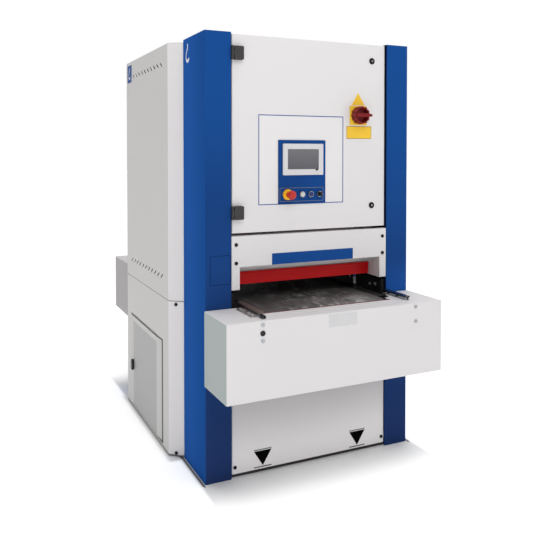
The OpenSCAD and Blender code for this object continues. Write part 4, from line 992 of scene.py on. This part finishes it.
for x, y in ((xIn, y1), (xTop, y0 + doorGapShade["bevelLong"]), (xTop, lowDoor[1].y)):
    zLow = z1 - doorGapShade["top"]
    rows.append([Vector((x + sink, y, zLow)), Vector((x - rise, y, zLow)),
                 Vector((x - rise, y, z1)), Vector((x + sink, y, z1))])
loft(bm, rows)
finishPiece("sideDoorGapShade", bm, gasketRubber, "left_door")

# inside: bolts of the sills, gasket of the electrics box, wiring ducts
sillBolts = {"in": 0.020, "size": (0.009, 0.003, 0.004),
             "at": ((0.064, 0.803), (0.112, 0.797), (0.300, 0.806), (0.900, 0.806), (1.300, 0.806))}
bm = bmesh.new()
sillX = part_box("side_sills")[1].x - sillBolts["in"]
for sx in (-1, 1):
    for y, z in sillBolts["at"]:
        screwInto(bm, facing((sx * sillX, columnFace + y, z), (-sx, 0, 0)), *sillBolts["size"])
finishPiece("sillBolts", bm, screwZinc, "frame")

bayGasket = {"inX": 0.040, "inZ": 0.036, "line": 0.012, "thick": 0.0012, "r": 0.010}
bayLow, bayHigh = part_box("electrics_box")
bm = bmesh.new()
frameInto(bm, facing((0, bayLow.y, (bayLow.z + bayHigh.z) / 2), front),
          bayHigh.x - bayLow.x - bayGasket["inX"], bayHigh.z - bayLow.z - bayGasket["inZ"],
          bayGasket["line"], bayGasket["thick"], bayGasket["r"])
finishPiece("bayGasket", bm, gasketRubber, "frame")

wireDucts = {"rows": (1.208, 1.351, 1.531, 1.884), "long": 0.690, "tall": 0.036, "deep": 0.050,
             "fingers": 46, "finger": 0.0095, "lidOver": 0.003, "lidDeep": 0.004, "lidCrown": 0.001}
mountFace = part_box("mounting_plate")[0].y
finger = roundRect(wireDucts["finger"], wireDucts["tall"], 0.001)
lid = roundRect(wireDucts["long"], wireDucts["tall"] + wireDucts["lidOver"], 0.002)
deep = wireDucts["deep"]
bm = bmesh.new()
for z in wireDucts["rows"]:
    for i in range(wireDucts["fingers"]):  # comb of fingers under a lid
        x = wireDucts["long"] * ((i + 0.5) / wireDucts["fingers"] - 0.5)
        place = facing((x, mountFace, z), front)
        loft(bm, [lifted(finger, -meshing["plateSink"], place), lifted(finger, deep, place)])
    place = facing((0, mountFace, z), front)
    loft(bm, [lifted(lid, deep - wireDucts["lidDeep"], place), lifted(lid, deep, place),
              lifted(shrunk(lid, 0.998), deep + wireDucts["lidCrown"], place)])
finishPiece("wireDucts", bm, ductGrey, "frame")
print("inside dressed")

# floor: glows white but for painted shadow under the table boxes, along the covers and beside the columns,
# with a dark painted shadow at the column feet
floorGlow = {"radius": 60.0, "z": (-0.0012, -0.0004), "boxHalf": 0.545, "rearWider": 0.047,
             "rearFrom": 0.41, "footHalf": 0.700,
             "footMiddle": -0.0405, "reach": 0.29, "sideFade": 0.025, "coverHalf": (0.600, 0.4635),
             "coverMiddle": 0.018, "columnHalf": (0.540, 0.705),
             "contact": 0.035, "footShadow": 0.026, "strength": 0.45,
             "stone": ((0.90, 0.90, 0.905), (0.93, 0.93, 0.93)), "shade": (0.03, 0.028, 0.03)}


def awayFrom(f, axis, middle):
    return f.add("ShaderNodeMath", {"operation": "ABSOLUTE"}, {0: axisOf(f, axis) - middle})


# how far the floor lies beyond a rectangle, along X and in all
def beyond(halves, *away):
    x, y = [d.calc("MAXIMUM", d - half, 0.0) for d, half in zip(away, halves)]
    return x, (x * x + y * y) ** 0.5


def floorStone(name, look):
    f = Finish(name)
    mist = grain(f, 0.4, 2.0)
    fromX, fromY = awayFrom(f, "X", 0.0), awayFrom(f, "Y", look["footMiddle"])
    behind = past(f, axisOf(f, "Y"), look["rearFrom"], 0.01)
    sideOpen = between(f, fromX - (look["boxHalf"] + behind * look["rearWider"]), 0.0, look["sideFade"])
    endOpen = between(f, fromY - look["footHalf"], 0.0, look["reach"])
    fromCover = beyond(look["coverHalf"], fromX, awayFrom(f, "Y", look["coverMiddle"]))[1]
    columnX, fromColumn = beyond(look["columnHalf"], fromX, fromY)
    # painted shadow: the glow is taken away under the boxes, along the covers and beside the columns
    glow = sideOpen.calc("MAXIMUM", sideOpen, endOpen)
    for away in (fromCover, fromColumn):
        glow = glow.calc("MINIMUM", glow, between(f, away, 0.0, look["contact"]))
    # painted shadow: a dark tone on the floor beside the front column feet
    footShadow = 1 - between(f, fromColumn, look["footShadow"] * 0.3, look["footShadow"])
    footShadow = footShadow * between(f, columnX, 0.0, 0.006) * (1 - behind)
    base = tint(f, mist, rgba(look["stone"][0]), rgba(look["stone"][1]))
    return f.surface({"Base Color": tint(f, footShadow, base, rgba(look["shade"])),
                      "Roughness": 0.75 + mist * 0.05,
                      "Emission Color": tint(f, glow, rgba((0, 0, 0)), rgba((1.0, 1.0, 1.0))),
                      "Emission Strength": look["strength"]})


bm = bmesh.new()
discInto(bm, Matrix.Identity(4), [(floorGlow["radius"], z) for z in floorGlow["z"]], 64)
mesh = bpy.data.meshes.new("studioFloor")
bm.to_mesh(mesh)
bm.free()
mesh.materials.append(floorStone("studioFloor", floorGlow))
floor = bpy.data.objects.new("studioFloor", mesh)
bpy.context.scene.collection.objects.link(floor)

# air: dimmer to the front left for the light, plain white where it is seen itself
airLook = {"towards": (-0.75, -0.66, -0.05), "from": -0.10, "to": 0.55, "dim": 0.15}
world = bpy.data.worlds.new("studioAir")
bpy.context.scene.world = world
f = Finish("studioAir", world)
ray = f.add("ShaderNodeTexCoord", out="Generated")
lean = f.add("ShaderNodeVectorMath", {"operation": "DOT_PRODUCT"}, {0: ray, 1: airLook["towards"]},
             out="Value")
spread = f.add("ShaderNodeMapRange", {"interpolation_type": "SMOOTHSTEP"},
               {"Value": lean, "From Min": airLook["from"], "From Max": airLook["to"],
                "To Min": 1.0, "To Max": airLook["dim"]})
seen = f.add("ShaderNodeLightPath", out="Is Camera Ray")
air = f.add("ShaderNodeBackground", None,
            {"Color": rgba((1.0, 1.0, 1.0)), "Strength": spread.calc("MAXIMUM", spread, seen)})
f.add("ShaderNodeOutputWorld", None, {"Surface": air})

softLights = {
    "frontSoftbox": {"place": (-1.2, -4.4, 4.4), "aim": (0, -0.6, 1.0), "size": (2.4, 2.4), "watts": 66},
    "topSoftbox": {"place": (0.0, -1.1, 5.2), "aim": (0, -0.8, 0.0), "size": (2.6, 2.6), "watts": 40},
}
for name, spec in softLights.items():
    lamp = bpy.data.lights.new(name, "AREA")
    lamp.shape = "RECTANGLE"
    lamp.size, lamp.size_y = spec["size"]
    lamp.energy = spec["watts"]
    obj = bpy.data.objects.new(name, lamp)
    bpy.context.scene.collection.objects.link(obj)
    obj.location = spec["place"]
    obj.rotation_euler = (Vector(spec["aim"]) - Vector(spec["place"])).to_track_quat("-Z", "Y").to_euler()

photoCamera = {"place": (-1.53736, -3.50600, 1.46012), "aim": (0.42446, 0.90514, -0.02317),
               "lens": 45.30, "sensor": 36.0, "down": 0.1819}
lens = bpy.data.cameras.new("photoCamera")
lens.lens = photoCamera["lens"]
lens.sensor_width = photoCamera["sensor"]
lens.shift_y = -photoCamera["down"]
camera = bpy.data.objects.new("photoCamera", lens)
bpy.context.scene.collection.objects.link(camera)
camera.location = photoCamera["place"]
camera.rotation_euler = Vector(photoCamera["aim"]).to_track_quat("-Z", "Y").to_euler()
bpy.context.scene.camera = camera
bpy.context.scene.view_settings.view_transform = "Standard"
print("studio set")
